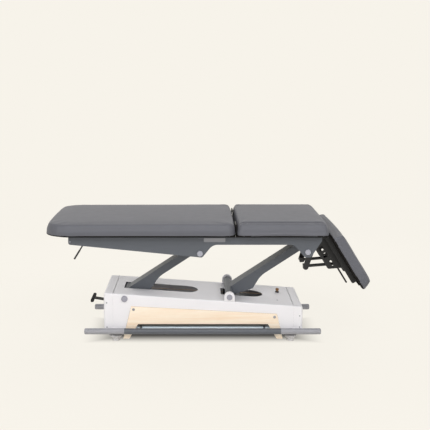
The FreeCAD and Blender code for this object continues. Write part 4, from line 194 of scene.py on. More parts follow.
class TableSizes(bpy.types.PropertyGroup):
    skin_step: length_setting("Skin step", "Mesh step of a cushion's cover before it is padded", 6.0)
    long_skin_step: length_setting("Long skin step", "Mesh step of the long cushion's cover", 8.0)
    slack: length_setting("Slack", "How much smaller a cushion is before it is padded", 3.0)
    top_swell: length_setting("Top swell", "Furthest that padding lifts the top of a cushion", 9.0)
    side_swell: length_setting("Side swell", "Furthest that padding pushes out the sides of a cushion", 8.0)
    top_levelling: bpy.props.FloatProperty(
        name="Top levelling", description="Share of a cushion top's fall towards its edges that is made up",
        default=0.6, min=0.0, max=1.0, subtype="FACTOR")
    fullness: length_setting("Fullness", "How far a cushion's walls stand proud of its foam", 1.5)
    tuck: length_setting("Tuck", "How far the cover is drawn in where it turns under the foam", 9.0)
    seat_depth: length_setting("Seat depth", "Height over which a cushion is held on its board", 7.0)
    # Height of the lowest band of each cushion cover, which wears the black board finish
    dark_band_height: length_setting("Edge height", "Height of the board's edge that shows below a cover", 8.0)
    seam_inset: length_setting("Seam inset", "From the long edge of the mid cushion to its sewn line", 50.0)
    seam_depth: length_setting("Seam depth", "Depth of a sewn line", 7.0)
    seam_half_width: length_setting("Seam half width", "Half width of a sewn line", 8.0)
    stitch_pitch: length_setting("Stitch pitch", "From one stitch to the next", 7.0)
    stitch_length: length_setting("Stitch length", "Length of thread that shows of a stitch", 5.0)
    stitch_radius: length_setting("Thread radius", "Radius of the sewing thread", 0.6)
    stitch_offset: length_setting("Stitch offset", "From a sewn line to the stitches beside it", 6.0)
    tread_rib: length_setting("Tread rib", "Pitch of the ribs on the pedal tread", 7.0)
    camera_lens: length_setting("Lens", "Focal length of the camera", 65.47)
    # Reach and depth of the painted shadow on the floor under the base
    shadow_reach: length_setting("Shadow reach", "How far the dark patch shows outside the base", 45.0)
    shadow_depth: length_setting("Shadow depth", "How far under the base the patch is darkest", 113.0)
    stage_radius: length_setting("Stage radius", "Radius of the floor, which fades into the background", 3600.0)


def sizes():
    return bpy.context.scene.table_sizes


def colours():
    return bpy.context.scene.table_colours


def add_node(tree, kind, inputs=None, **settings):
    """One shader node, with its settings, and with each input set to a value or linked to a socket."""
    node = tree.nodes.new(kind)
    for name, value in settings.items():
        setattr(node, name, value)
    for key, value in (inputs or {}).items():
        if isinstance(value, bpy.types.NodeSocket):
            tree.links.new(value, node.inputs[key])
        else:
            node.inputs[key].default_value = value
    return node


def per_metre(millimetres):
    """Texture scale at which a pattern repeats about every so many millimetres."""
    return 1.0 / (millimetres * MM)


def noise(tree, place, millimetres, detail):
    """Even clouds of a size in millimetres."""
    node = add_node(tree, "ShaderNodeTexNoise",
                    {"Vector": place, "Scale": per_metre(millimetres), "Detail": detail})
    return node.outputs["Fac"]


def stretched_noise(tree, place, millimetres, detail, distortion=0.0):
    """Clouds drawn out to a size in millimetres along each axis."""
    drawn = add_node(tree, "ShaderNodeMapping",
                     {"Vector": place, "Scale": [per_metre(length) for length in millimetres]})
    node = add_node(tree, "ShaderNodeTexNoise", {"Vector": drawn.outputs["Vector"], "Scale": 1.0,
                                                 "Detail": detail, "Distortion": distortion})
    return node.outputs["Fac"]


def blend(tree, share, first, second):
    """The colour that lies so far from the first to the second."""
    node = add_node(tree, "ShaderNodeMix", {0: share, 6: first, 7: second}, data_type="RGBA")
    return node.outputs[2]


def mottled(tree, share, colour, darkest, palest):
    """A colour that varies between two factors of itself."""
    return blend(tree, share, shade(colour, darkest), shade(colour, palest))


def ramp(tree, value, start=(0.0, 1.0), end=(0.0, 1.0), interpolation="LINEAR"):
    """A value carried over from one range to another and held at its ends."""
    node = add_node(tree, "ShaderNodeMapRange", {"Value": value, "From Min": start[0], "From Max": start[1],
                                                 "To Min": end[0], "To Max": end[1]},
                    interpolation_type=interpolation)
    return node.outputs["Result"]


def bump(tree, height, strength, millimetres):
    """The normal of a relief of so many millimetres."""
    node = add_node(tree, "ShaderNodeBump",
                    {"Height": height, "Strength": strength, "Distance": millimetres * MM})
    return node.outputs["Normal"]


def reckon(tree, operation, *values):
    """The result of one sum on numbers or sockets."""
    return add_node(tree, "ShaderNodeMath", dict(enumerate(values)), operation=operation).outputs["Value"]


def shade(colour, factor):
    """A colour made lighter or darker."""
    return tuple(min(c * factor, 1.0) for c in colour[:3]) + (1.0,)


def start_material(name):
    """An empty material with its tree, the socket for the surface and the place on the piece."""
    material = bpy.data.materials.new(name)
    material.use_nodes = True
    tree = material.node_tree
    tree.nodes.clear()
    output = add_node(tree, "ShaderNodeOutputMaterial")
    place = add_node(tree, "ShaderNodeTexCoord").outputs["Object"]
    return material, tree, output.inputs["Surface"], place


def set_surface(tree, surface, colour, roughness, others):
    """End a material with its colour, its roughness and other inputs by name."""
    skin = add_node(tree, "ShaderNodeBsdfPrincipled", {"Base Color": colour, "Roughness": roughness, **others})
    tree.links.new(skin.outputs["BSDF"], surface)


def shared(name, make):
    """The material of this name, made when it is first asked for."""
    return bpy.data.materials.get(name) or make()


def leatherette():
    """PVC leatherette, calendered and embossed: an even satin skin with a fine pebble grain, a soft broad
    highlight and faint clouding where the backing cloth pulls."""
    material, tree, surface, place = start_material(LEATHERETTE)
    tone = mottled(tree, noise(tree, place, 160, 3.0), colours().leatherette, 0.93, 1.07)
    # Real grain is about 1 mm; drawn at 3.2 mm so that it shows
    grain = add_node(tree, "ShaderNodeTexVoronoi",
                     {"Vector": place, "Scale": per_metre(3.2), "Smoothness": 0.6}, feature="SMOOTH_F1")
    relief = bump(tree, grain.outputs["Distance"], 0.22, 0.5)
    gloss = ramp(tree, noise(tree, place, 45, 4.0), end=(0.48, 0.58))
    set_surface(tree, surface, tone, gloss,
                {"Normal": relief, "IOR": 1.45, "Sheen Weight": 0.03, "Sheen Roughness": 0.5})
    return material


def sewing_thread():
    """Polyester thread, twisted: fine slanting plies and a dull sheen."""
    material, tree, surface, place = start_material("Polyester thread, twisted")
    # Real plies are about 0.3 mm; drawn at 0.8 mm so that they show close up
    plies = add_node(tree, "ShaderNodeTexWave",
                     {"Vector": place, "Scale": per_metre(0.8) / 6.0, "Distortion": 0.5},
                     bands_direction="DIAGONAL")
    tone = mottled(tree, plies.outputs["Fac"], colours().thread, 0.8, 1.15)
    set_surface(tree, surface, tone, 0.6, {"IOR": 1.5})
    return material


def powder_coat(name, colour, roughness):
    """Epoxy powder on steel, sprayed and stoved: slight orange peel, a satin gloss, and edges that are rubbed
    a little paler."""
    material, tree, surface, place = start_material(name)
    relief = bump(tree, noise(tree, place, 3.0, 1.0), 0.18, 0.3)
    tone = mottled(tree, noise(tree, place, 220, 2.0), colour, 0.965, 1.035)
    # The normal of a rounded edge differs from the face's own only along an edge
    rounded = add_node(tree, "ShaderNodeBevel", {"Radius": 1.6 * MM}, samples=4)
    face = add_node(tree, "ShaderNodeNewGeometry").outputs["Normal"]
    align = add_node(tree, "ShaderNodeVectorMath", {0: rounded.outputs["Normal"], 1: face},
                     operation="DOT_PRODUCT")
    rim = ramp(tree, align.outputs["Value"], (0.98, 0.75), (0.0, 0.5))
    worn = blend(tree, rim, tone, shade(colour, 1.45))
    set_surface(tree, surface, worn, roughness, {"Normal": relief, "IOR": 1.5})
    return material


def black_enamel():
    """Black enamel on steel, dipped and stoved: nearly black, glossier than powder, with dust specks."""
    material, tree, surface, place = start_material("Black stoved enamel")
    relief = bump(tree, noise(tree, place, 4.0, 3.0), 0.15, 0.25)
    dust = noise(tree, place, 70, 4.0)
    tone = mottled(tree, dust, colours().enamel, 0.7, 1.3)
    gloss = ramp(tree, dust, end=(0.3, 0.46))
    set_surface(tree, surface, tone, gloss, {"Normal": relief, "IOR": 1.5})
    return material


def birch_plywood():
    """Birch plywood, rotary cut and lacquered: pale, with wide soft figure along the panel, short flecks, and
    dark and light plies in turn along the edges."""
    material, tree, surface, place = start_material("Birch plywood, lacquered")
    paint = colours()
    figure = stretched_noise(tree, place, (420, 60, 16), 4.0, 0.6)
    flecks = stretched_noise(tree, place, (38, 8, 2.4), 2.0)
    both = reckon(tree, "MULTIPLY_ADD", flecks, 0.3, figure)
    face = blend(tree, ramp(tree, both, (0.45, 0.95)), paint.birch_pale, paint.birch_dark)
    across = add_node(tree, "ShaderNodeSeparateXYZ", {"Vector": place}).outputs["Y"]
    # Plies are 1.3 mm; a light one and a dark one are drawn as one turn of 4 mm so that they show
    turn = reckon(tree, "PINGPONG", across, 2.0 * MM)
    ply = ramp(tree, turn, (0.8 * MM, 1.2 * MM), interpolation="SMOOTHSTEP")
    edge = blend(tree, ply, paint.birch_dark, paint.birch_glue)
    normal = add_node(tree, "ShaderNodeNewGeometry").outputs["Normal"]
    facing = add_node(tree, "ShaderNodeSeparateXYZ", {"Vector": normal}).outputs["Y"]
    on_face = reckon(tree, "GREATER_THAN", reckon(tree, "ABSOLUTE", facing), 0.6)
    front = blend(tree, on_face, edge, face)
    # The back, which looks into the casing, is painted as the casing is
    back = reckon(tree, "LESS_THAN", reckon(tree, "MULTIPLY", across, facing), -0.1)
    tone = blend(tree, back, front, paint.pale_paint)
    set_surface(tree, surface, tone, 0.42, {"Normal": bump(tree, flecks, 0.1, 0.2), "IOR": 1.5,
                                            "Coat Weight": 0.15, "Coat Roughness": 0.25})
    return material


def stained_board():
    """Birch board stained black: open fibre that takes the stain unevenly, no gloss."""
    material, tree, surface, place = start_material(STAINED_BOARD)
    fibre = stretched_noise(tree, place, (90, 5, 5), 4.0)
    tone = mottled(tree, fibre, colours().board, 0.6, 1.5)
    set_surface(tree, surface, tone, 0.7, {"Normal": bump(tree, fibre, 0.25, 0.3), "IOR": 1.2})
    return material


def drawn_metal(name, colour, roughness, line, run, bare=1.0):
    """Steel, drawn or ground: fine lines one way, over which the reflections stretch a little. With bare below
    1 it is only partly metal, so that its colour shows as a painted reflection."""
    material, tree, surface, place = start_material(name)
    lines = stretched_noise(tree, place, (run, line, line), 2.0)
    tone = mottled(tree, lines, colour, 0.92, 1.06)
    gloss = ramp(tree, lines, end=(roughness * 0.75, roughness * 1.25))
    set_surface(tree, surface, tone, gloss, {"Metallic": bare, "Normal": bump(tree, lines, 0.06, 0.1)})
    return material


def moulded_plastic(name, colour, roughness):
    """ABS or nylon, injection moulded in an etched tool: an even fine grain and slight flow clouding."""
    material, tree, surface, place = start_material(name)
    tone = mottled(tree, noise(tree, place, 35, 2.0), colour, 0.94, 1.06)
    # Etched grain is about 0.3 mm; drawn at 1.4 mm so that it shows close up
    etch = add_node(tree, "ShaderNodeTexVoronoi", {"Vector": place, "Scale": per_metre(1.4)})
    relief = bump(tree, etch.outputs["Distance"], 0.12, 0.2)
    set_surface(tree, surface, tone, roughness, {"Normal": relief, "IOR": 1.5})
    return material


def black_rubber():
    """Vulcanised rubber, moulded: dull, with grey scuffs where it is trodden or rolled on."""
    material, tree, surface, place = start_material(RUBBER)
    scuff = noise(tree, place, 14, 6.0)
    tone = blend(tree, ramp(tree, scuff, (0.5, 0.75)), colours().rubber, shade(colours().rubber, 2.2))
    set_surface(tree, surface, tone, 0.78, {"Normal": bump(tree, scuff, 0.2, 0.3), "IOR": 1.45})
    return material


def zinc_plate():
    """Zinc plate on steel, passivated: a cool grey metal with a slightly cloudy gloss."""
    return drawn_metal(ZINC_PLATE, colours().zinc, 0.32, 1.5, 1.5)


def wear(material, names):
    """Give carried-over pieces of the frame a finish."""
    for name in names:
        mesh = NODES[name].data
        mesh.materials.clear()
        mesh.materials.append(material)


def new_piece(name, mesh):
    piece = bpy.data.objects.new(name, mesh)
    bpy.context.scene.collection.objects.link(piece)
    return piece


def piece_from(name, work, material, smooth=True):
    """Turn a finished bmesh into a piece with one material."""
    mesh = bpy.data.meshes.new(name)
    work.to_mesh(mesh)
    work.free()
    for polygon in mesh.polygons:
        polygon.use_smooth = smooth
    mesh.materials.append(material)
    return new_piece(name, mesh)


def bake_modifiers(piece):
    """Replace a piece's mesh by the result of its modifiers."""
    graph = bpy.context.evaluated_depsgraph_get()
    baked = bpy.data.meshes.new_from_object(piece.evaluated_get(graph))
    piece.modifiers.clear()
    old = piece.data
    piece.data = baked
    bpy.data.meshes.remove(old)


def smooth_out(piece, passes):
    smooth = piece.modifiers.new("Even out", "SMOOTH")
    smooth.factor = SMOOTHING
    smooth.iterations = passes
    bake_modifiers(piece)


def level_pose(name):
    """Matrix that swings a section from where it is drawn to the end of its range, where it lies level."""
    swing = next(joint for joint in frame["joints"] if joint["name"] == name)
    pivot = Vector(swing["pos_m"])
    turn = Matrix.Rotation(math.radians(swing["range_deg"][1]), 4, Vector(swing["axis"]))
    return Matrix.Translation(pivot) @ turn @ Matrix.Translation(-pivot)


def padded_cover(node, name, to_level, step):
    """A cushion's cover: an even skin over the solid, a little slack, blown up against its foam, and held flat
    where it is stapled to the board."""
    size = sizes()
    mesh = NODES[node].data.copy()
    mesh.transform(to_level)
    outline = [[pick(v.co[axis] for v in mesh.vertices) for axis in (0, 1)] for pick in (min, max)]
    piece = new_piece(name, mesh)
    skin = piece.modifiers.new("Even skin", "REMESH")
    skin.mode = "VOXEL"
    skin.voxel_size = step
    bake_modifiers(piece)
    smooth_out(piece, EASE_PASSES)
    mesh = piece.data
    seat = min(v.co.z for v in mesh.vertices)
    normals = [v.normal.copy() for v in mesh.vertices]
    held = []
    for vertex, normal in zip(mesh.vertices, normals):
        if vertex.co.z < seat + size.seat_depth:
            held.append(vertex.index)
            vertex.co -= Vector((normal.x, normal.y, 0.0)) * size.tuck
        else:
            vertex.co -= normal * size.slack
    start = [v.co.copy() for v in mesh.vertices]
    moved = blown_up(piece, held)
    fixed = set(held)
    for vertex, first, last, normal in zip(mesh.vertices, start, moved, normals):
        if vertex.index in fixed:
            continue
        limit = size.side_swell + (size.top_swell - size.side_swell) * max(normal.z, 0.0) ** 2
        shift = last - first
        if shift.length > limit:
            shift *= limit / shift.length
        vertex.co = first + shift
    smooth_out(piece, SOFTEN_PASSES)
    level_top(piece.data, size.top_levelling)
    fill_out(piece.data, outline, size.fullness)
    return piece


def blown_up(piece, held):
    """Where the points of a cover come to rest under the pressure of the foam."""
    scene = bpy.context.scene
    group = piece.vertex_groups.new(name="stapled")
    group.add(held, 1.0, "REPLACE")
    cloth = piece.modifiers.new("Foam pressure", "CLOTH")
    setting = cloth.settings
    setting.quality = 4
    setting.mass = 0.25
    setting.tension_stiffness = 18.0
    setting.compression_stiffness = 18.0
    setting.shear_stiffness = 8.0
    setting.bending_stiffness = 1.5
    setting.use_pressure = True
    setting.uniform_pressure_force = 4.0
    setting.vertex_group_mass = group.name
    setting.effector_weights.gravity = 0.0
    cloth.point_cache.frame_start = 1
    cloth.point_cache.frame_end = CLOTH_FRAMES
    for number in range(1, CLOTH_FRAMES + 1):
        scene.frame_set(number)
    graph = bpy.context.evaluated_depsgraph_get()
    result = [v.co.copy() for v in piece.evaluated_get(graph).data.vertices]
    piece.modifiers.remove(cloth)
    piece.vertex_groups.remove(group)
    scene.frame_set(1)
    return result


def level_top(mesh, share):
    """Keep the top nearly flat up to its rounded edge, as foam of one thickness does."""
    crown = max(v.co.z for v in mesh.vertices)
    normals = [v.normal.z for v in mesh.vertices]
    for vertex, upward in zip(mesh.vertices, normals):
        flat = max(upward - FLAT_FROM, 0.0) / (1.0 - FLAT_FROM)
        vertex.co.z += (crown - vertex.co.z) * share * flat * flat * (3.0 - 2.0 * flat)


def fill_out(mesh, outline, fullness):
    """Widen a cover, which softening has drawn in, until its walls stand a little proud of the foam."""
    low, high = outline
    for axis in (0, 1):
        now_low = min(v.co[axis] for v in mesh.vertices)
        now_high = max(v.co[axis] for v in mesh.vertices)
        factor = (high[axis] - low[axis] + 2.0 * fullness) / (now_high - now_low)
        for vertex in mesh.vertices:
            vertex.co[axis] = low[axis] - fullness + (vertex.co[axis] - now_low) * factor


def sew_channel(piece, y):
    """Press a sewn line along X into the top of a cushion."""
    size = sizes()
    for vertex in piece.data.vertices:
        across = (vertex.co.y - y) / size.seam_half_width
        if vertex.normal.z >= SEAM_FACING and abs(across) <= SEAM_SPREAD:
            vertex.co.z -= size.seam_depth * math.exp(-across * across)


def finish_cushion(piece, from_level, node, body):
    """Turn a cushion back into place, cover it and set it on its body."""
    mesh = piece.data
    seat = min(v.co.z for v in mesh.vertices)
    edge = [p.index for p in mesh.polygons if p.center.z < seat + sizes().dark_band_height]
    mesh.transform(from_level)
    for polygon in mesh.polygons:
        polygon.use_smooth = True
    mesh.materials.clear()
    mesh.materials.append(shared(LEATHERETTE, leatherette))
    # The lowest band of the cover, up to the dark band height, wears the black stained board finish, so the
    # foot of each cushion shows as a dark line
    mesh.materials.append(shared(STAINED_BOARD, stained_board))
    for index in edge:
        mesh.polygons[index].material_index = 1
    smooth = piece.modifiers.new("Smooth skin", "SUBSURF")
    smooth.levels = 1
    smooth.render_levels = 1
    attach(piece, body)
    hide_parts(node)


def join_rings(work, rings):
    """Faces between rings of points that follow one another."""
    for low, high in zip(rings, rings[1:]):
        for step in range(len(low)):
            after = (step + 1) % len(low)
            work.faces.new((low[step], low[after], high[after], high[step]))


def turned_rings(work, centre, axis, profile, segments, shape=None):
    """A closed turned form. profile holds (distance along the axis, radius), and shape may change the radius of
    a ring by its number and angle."""
    along = Vector(axis).normalized()
    side = along.orthogonal().normalized()
    up = along.cross(side)
    rings = []
    for number, (distance, radius) in enumerate(profile):
        ring = []
        for step in range(segments):
            angle = 2.0 * math.pi * step / segments
            reach = radius * (shape(number, angle) if shape else 1.0)
            ring.append(work.verts.new(
                centre + along * distance + (side * math.cos(angle) + up * math.sin(angle)) * reach))
        rings.append(ring)
    join_rings(work, rings)
    work.faces.new(list(reversed(rings[0])))
    work.faces.new(rings[-1])


def clusters(node, reach):
    """Boxes of the separate small solids of a node."""
    groups = []
    for vertex in NODES[node].data.vertices:
        for group in groups:
            if (group[0] - vertex.co).length < reach:
                group.append(vertex.co.copy())
                break
        else:
            groups.append([vertex.co.copy()])
    return [[Vector([pick(p[axis] for p in group) for axis in range(3)]) for pick in (min, max)]
            for group in groups]


def hexagon(angle):
    """Radius of a hexagon of unit inner radius at an angle."""
    return 1.0 / math.cos((angle + math.pi / 6.0) % (math.pi / 3.0) - math.pi / 6.0)


class TABLE_OT_long_cushion(bpy.types.Operator):
    """Pad the long cushion"""
    bl_idname = "table.long_cushion"
    bl_label = "Long cushion"

    def execute(self, context):
        level = Matrix.Identity(4)
        piece = padded_cover("long_cushion", "long_cushion_cover", level, sizes().long_skin_step)
        finish_cushion(piece, level, "long_cushion", "long_section")
        return {"FINISHED"}


class TABLE_OT_mid_cushion(bpy.types.Operator):
    """Pad the mid cushion and press in its two sewn lines"""
    bl_idname = "table.mid_cushion"
    bl_label = "Mid cushion"

    def execute(self, context):
        level = Matrix.Identity(4)
        low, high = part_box("mid_cushion")
        piece = padded_cover("mid_cushion", "mid_cushion_cover", level, sizes().skin_step)
        for side in BOTH_WAYS:
            sew_channel(piece, side * (high.y - sizes().seam_inset))
        finish_cushion(piece, level, "mid_cushion", "top_frame")
        return {"FINISHED"}


class TABLE_OT_head_cushion(bpy.types.Operator):
    """Pad the head cushion in its level pose and swing it down"""
    bl_idname = "table.head_cushion"
    bl_label = "Head cushion"

    def execute(self, context):
        level = level_pose("head_tilt")
        piece = padded_cover("head_cushion", "head_cushion_cover", level, sizes().skin_step)
        finish_cushion(piece, level.inverted(), "head_cushion", "head_section")
        return {"FINISHED"}


class TABLE_OT_stitching(bpy.types.Operator):
    """Sew a row of stitches on each side of the mid cushion's sewn lines"""
    bl_idname = "table.stitching"
    bl_label = "Stitching"

    def execute(self, context):
        size = sizes()
        low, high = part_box("mid_cushion")
        cover = bpy.data.objects["mid_cushion_cover"]
        skin = BVHTree.FromObject(cover, bpy.context.evaluated_depsgraph_get())
        work = bmesh.new()
        margin = STITCH_MARGIN * MM
        count = int((high.x - low.x - 2.0 * margin) / size.stitch_pitch)
        for side in BOTH_WAYS:
            for row in BOTH_WAYS:
                y = side * (high.y - size.seam_inset) + row * size.stitch_offset
                for number in range(count):
                    x = low.x + margin + (number + 0.5) * size.stitch_pitch
                    ends = []
                    for end in (-0.5, 0.5):
                        above = Vector((x + end * size.stitch_length, y, high.z + 0.1))
                        spot, normal, _, _ = skin.ray_cast(above, Vector((0.0, 0.0, -1.0)))
                        if spot is None:
                            raise RuntimeError("a stitch of the mid cushion misses its cover")
                        ends.append(spot + normal * size.stitch_radius * STITCH_PROUD)
                    self.stitch(work, ends[0], ends[1], size.stitch_radius)
        piece = piece_from("mid_cushion_stitching", work, sewing_thread())
        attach(piece, "top_frame")
        return {"FINISHED"}

    def stitch(self, work, first, last, radius):
        run = last - first
        profile = [(run.length * distance, radius * share) for distance, share in STITCH_PROFILE]
        turned_rings(work, first, run, profile, 6)


class TABLE_OT_casing_screws(bpy.types.Operator):
    """Button-head screws with hexagon sockets in the casing and panels"""
    bl_idname = "table.casing_screws"
    bl_label = "Casing screws"

    def execute(self, context):
        work = bmesh.new()
        for low, high in clusters("casing_screws", SCREW_REACH * MM):
            middle = (low + high) / 2.0
            extent = high - low
            thin = min(range(3), key=lambda i: extent[i])
            radius = max(extent) / 2.0
            height = extent[thin]
            axis = Vector((0.0, 0.0, 0.0))
            axis[thin] = math.copysign(1.0, middle[thin]) if thin < 2 else 1.0
            profile = [(height * distance, radius * share) for distance, share in SCREW_PROFILE]
            turned_rings(work, middle - axis * height / 2.0, axis, profile, 24,
                         lambda number, angle: hexagon(angle) if number >= SOCKET_FROM else 1.0)
        piece = piece_from("casing_screw_heads", work, shared(ZINC_PLATE, zinc_plate))
        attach(piece, "base")
        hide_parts("casing_screws")
        return {"FINISHED"}


class TABLE_OT_pedal_tread(bpy.types.Operator):
    """Ribbed rubber tread on the castor pedal"""
    bl_idname = "table.pedal_tread"
    bl_label = "Pedal tread"

    def execute(self, context):
        low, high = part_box("pedal_tread")
        middle = (low + high) / 2.0
        half_x = (high.x - low.x) / 2.0
        half_z = (high.z - low.z) / 2.0
        corner = min(half_x, half_z) * TREAD_CORNER
        length = high.y - low.y
        ribs = max(4, round(length / sizes().tread_rib))
        stations = [(low.y + length * (rib + share) / ribs, groove * MM)
                    for rib in range(ribs) for share, groove in RIB_STATIONS]
        stations.append((high.y, RIB_DEPTH * MM))
        work = bmesh.new()
        rings = []
        for y, groove in stations:
            ring = []
            for step in range(TREAD_STEPS):
                angle = 2.0 * math.pi * step / TREAD_STEPS
                x = self.rounded(math.cos(angle), half_x - groove, corner)
                z = self.rounded(math.sin(angle), half_z - groove, corner)
                ring.append(work.verts.new((middle.x + x, y, middle.z + z)))
            rings.append(ring)
        # Seen along the tread these rings run the other way round than turned ones
        for before, after in zip(rings, rings[1:]):
            for step in range(TREAD_STEPS):
                follow = (step + 1) % TREAD_STEPS
                work.faces.new((before[step], after[step], after[follow], before[follow]))
        work.faces.new(rings[0])
        work.faces.new(list(reversed(rings[-1])))
        piece = piece_from("pedal_tread_rubber", work, shared(RUBBER, black_rubber))
        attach(piece, "pedal")
        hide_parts("pedal_tread")
        return {"FINISHED"}

    def rounded(self, cosine, half, corner):
        """Half width of a rounded bar at an angle's cosine."""
        straight = (half - corner) * min(1.0, abs(cosine) * TREAD_SQUARENESS)
        return math.copysign(straight + corner * abs(cosine), cosine)


class TABLE_OT_castor_wheels(bpy.types.Operator):
    """Castor wheels: a rubber tyre on a recessed nylon hub"""
    bl_idname = "table.castor_wheels"
    bl_label = "Castor wheels"

    def execute(self, context):
        hub_finish = moulded_plastic("Nylon hub, moulded", colours().hub, 0.5)
        for corner in CASTORS:
            node = corner + "_castor_wheel"
            low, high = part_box(node)
            middle = (low + high) / 2.0
            radius = (high.z - low.z) / 2.0
            half = (high.y - low.y) / 2.0
            # One side from the bore over the boss, the recess and the rim to the tyre, then the other side back
            side = [(0.35, AXLE_RADIUS * MM), (0.95, AXLE_RADIUS * MM), (0.95, BOSS_RADIUS * MM),
                    (0.45, radius * 0.36), (0.45, radius * 0.66), (0.9, radius * 0.72), (1.0, radius * 0.78),
                    (1.0, radius * 0.88), (0.7, radius * 0.97), (0.25, radius)]
            profile = [(-half * share, reach) for share, reach in side]
            profile += [(half * share, reach) for share, reach in reversed(side)]
            work = bmesh.new()
            turned_rings(work, middle, (0.0, 1.0, 0.0), profile, 40)
            bmesh.ops.recalc_face_normals(work, faces=work.faces)
            piece = piece_from(corner + "_castor_tyre", work, shared(RUBBER, black_rubber))
            piece.data.materials.append(hub_finish)
            for polygon in piece.data.polygons:
                offset = polygon.center - middle
                if math.hypot(offset.x, offset.z) < radius * HUB_SHARE:
                    polygon.material_index = 1
            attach(piece, corner + "_wheel")
            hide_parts(node)
        return {"FINISHED"}


class TABLE_OT_foot_lock_nuts(bpy.types.Operator):
    """Thin hexagon lock nuts on the stems of the levelling feet"""
    bl_idname = "table.foot_lock_nuts"
    bl_label = "Foot lock nuts"

    def execute(self, context):
        work = bmesh.new()
        profile = [(distance * MM, radius * MM) for distance, radius in NUT_PROFILE]
        for low, high in clusters("levelling_feet", FOOT_REACH * MM):
            centre = Vector(((low.x + high.x) / 2.0, (low.y + high.y) / 2.0, high.z))
            turned_rings(work, centre, (0.0, 0.0, 1.0), profile, 30,
                         lambda number, angle: hexagon(angle) if number in NUT_FLATS else 1.0)
        bmesh.ops.recalc_face_normals(work, faces=work.faces)
        piece = piece_from("foot_lock_nuts", work, shared(ZINC_PLATE, zinc_plate), smooth=False)
        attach(piece, "base")
        return {"FINISHED"}


class TABLE_OT_inlet_pins(bpy.types.Operator):
    """Three flat contact pins in the mains inlet"""
    bl_idname = "table.inlet_pins"
    bl_label = "Inlet pins"

    def execute(self, context):
        low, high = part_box("mains_inlet")
        centre = (low + high) / 2.0
        floor_x = high.x - INLET_DEPTH * MM
        work = bmesh.new()
        for y, z in PIN_PLACES:
            rings = []
            for x, share in PIN_STATIONS:
                ring = []
                for side, up in ((-1, -1), (1, -1), (1, 1), (-1, 1)):
                    ring.append(work.verts.new((floor_x + x * MM,
                                                centre.y + (y + side * PIN_HALF_WIDTH * share) * MM,
                                                centre.z + (z + up * PIN_HALF_HEIGHT * share) * MM)))
                rings.append(ring)
            join_rings(work, rings)
            work.faces.new(rings[-1])
        bmesh.ops.recalc_face_normals(work, faces=work.faces)
        piece = piece_from("mains_inlet_pins", work, shared(ZINC_PLATE, zinc_plate), smooth=False)
        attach(piece, "base")
        return {"FINISHED"}


class TABLE_OT_painted_steel(bpy.types.Operator):
    """Paint the side plates, arms, foot bars, casing and mechanism"""
    bl_idname = "table.painted_steel"
    bl_label = "Painted steel"

    def execute(self, context):
        wear(powder_coat("Dark grey powder coat, stoved", colours().dark_paint, 0.45), DARK_PAINT)
        wear(powder_coat("Pale grey powder coat, stoved", colours().pale_paint, 0.42), PALE_PAINT)
        wear(black_enamel(), BLACK_ENAMEL)
        return {"FINISHED"}


class TABLE_OT_woodwork(bpy.types.Operator):
    """Finish the birch side panels and the boards under the cushions"""
    bl_idname = "table.woodwork"
    bl_label = "Woodwork"

    def execute(self, context):
        wear(birch_plywood(), BIRCH_PANELS)
        wear(shared(STAINED_BOARD, stained_board), BLACK_BOARDS)
        return {"FINISHED"}


class TABLE_OT_bare_metal(bpy.types.Operator):
    """Finish the polished tubes, shafts, rods, blank plate and key"""
    bl_idname = "table.bare_metal"
    bl_label = "Bare metal"

    def execute(self, context):
        paint = colours()
        # The tubes' pale blue colour, shown mostly as diffuse colour at a low bare share, is a painted
        # reflection
        wear(drawn_metal("Steel tube, pale painted reflection", paint.polished, 0.35, 2.0, 180.0, bare=0.2),
             POLISHED_TUBES)
        wear(drawn_metal("Steel, centreless ground", paint.ground, 0.3, 6.0, 1.2), GROUND_STEEL)
        wear(drawn_metal("Aluminium plate, anodised matt", paint.plate, 0.42, 1.0, 60.0), BLANK_PLATES)
        wear(drawn_metal("Brass, tumbled and tarnished", paint.key, 0.38, 2.5, 2.5), KEYS)
        return {"FINISHED"}


class TABLE_OT_mouldings(bpy.types.Operator):
    """Finish the moulded caps, feet, sleeves and housings"""
    bl_idname = "table.mouldings"
    bl_label = "Mouldings"

    def execute(self, context):
        paint = colours()
        wear(moulded_plastic("ABS, pale grey, moulded", paint.pale_cap, 0.45), PALE_CAPS)
        wear(moulded_plastic("Nylon, pale grey, moulded", paint.foot, 0.5), FEET)
        wear(moulded_plastic("ABS, mid grey, moulded", paint.mid_cap, 0.45), MID_CAPS)
        wear(moulded_plastic("Nylon, grey, moulded", paint.sleeve, 0.48), BAR_SLEEVES)
        wear(moulded_plastic("ABS, black, moulded", paint.black_plastic, 0.5), BLACK_MOULDINGS)
        return {"FINISHED"}


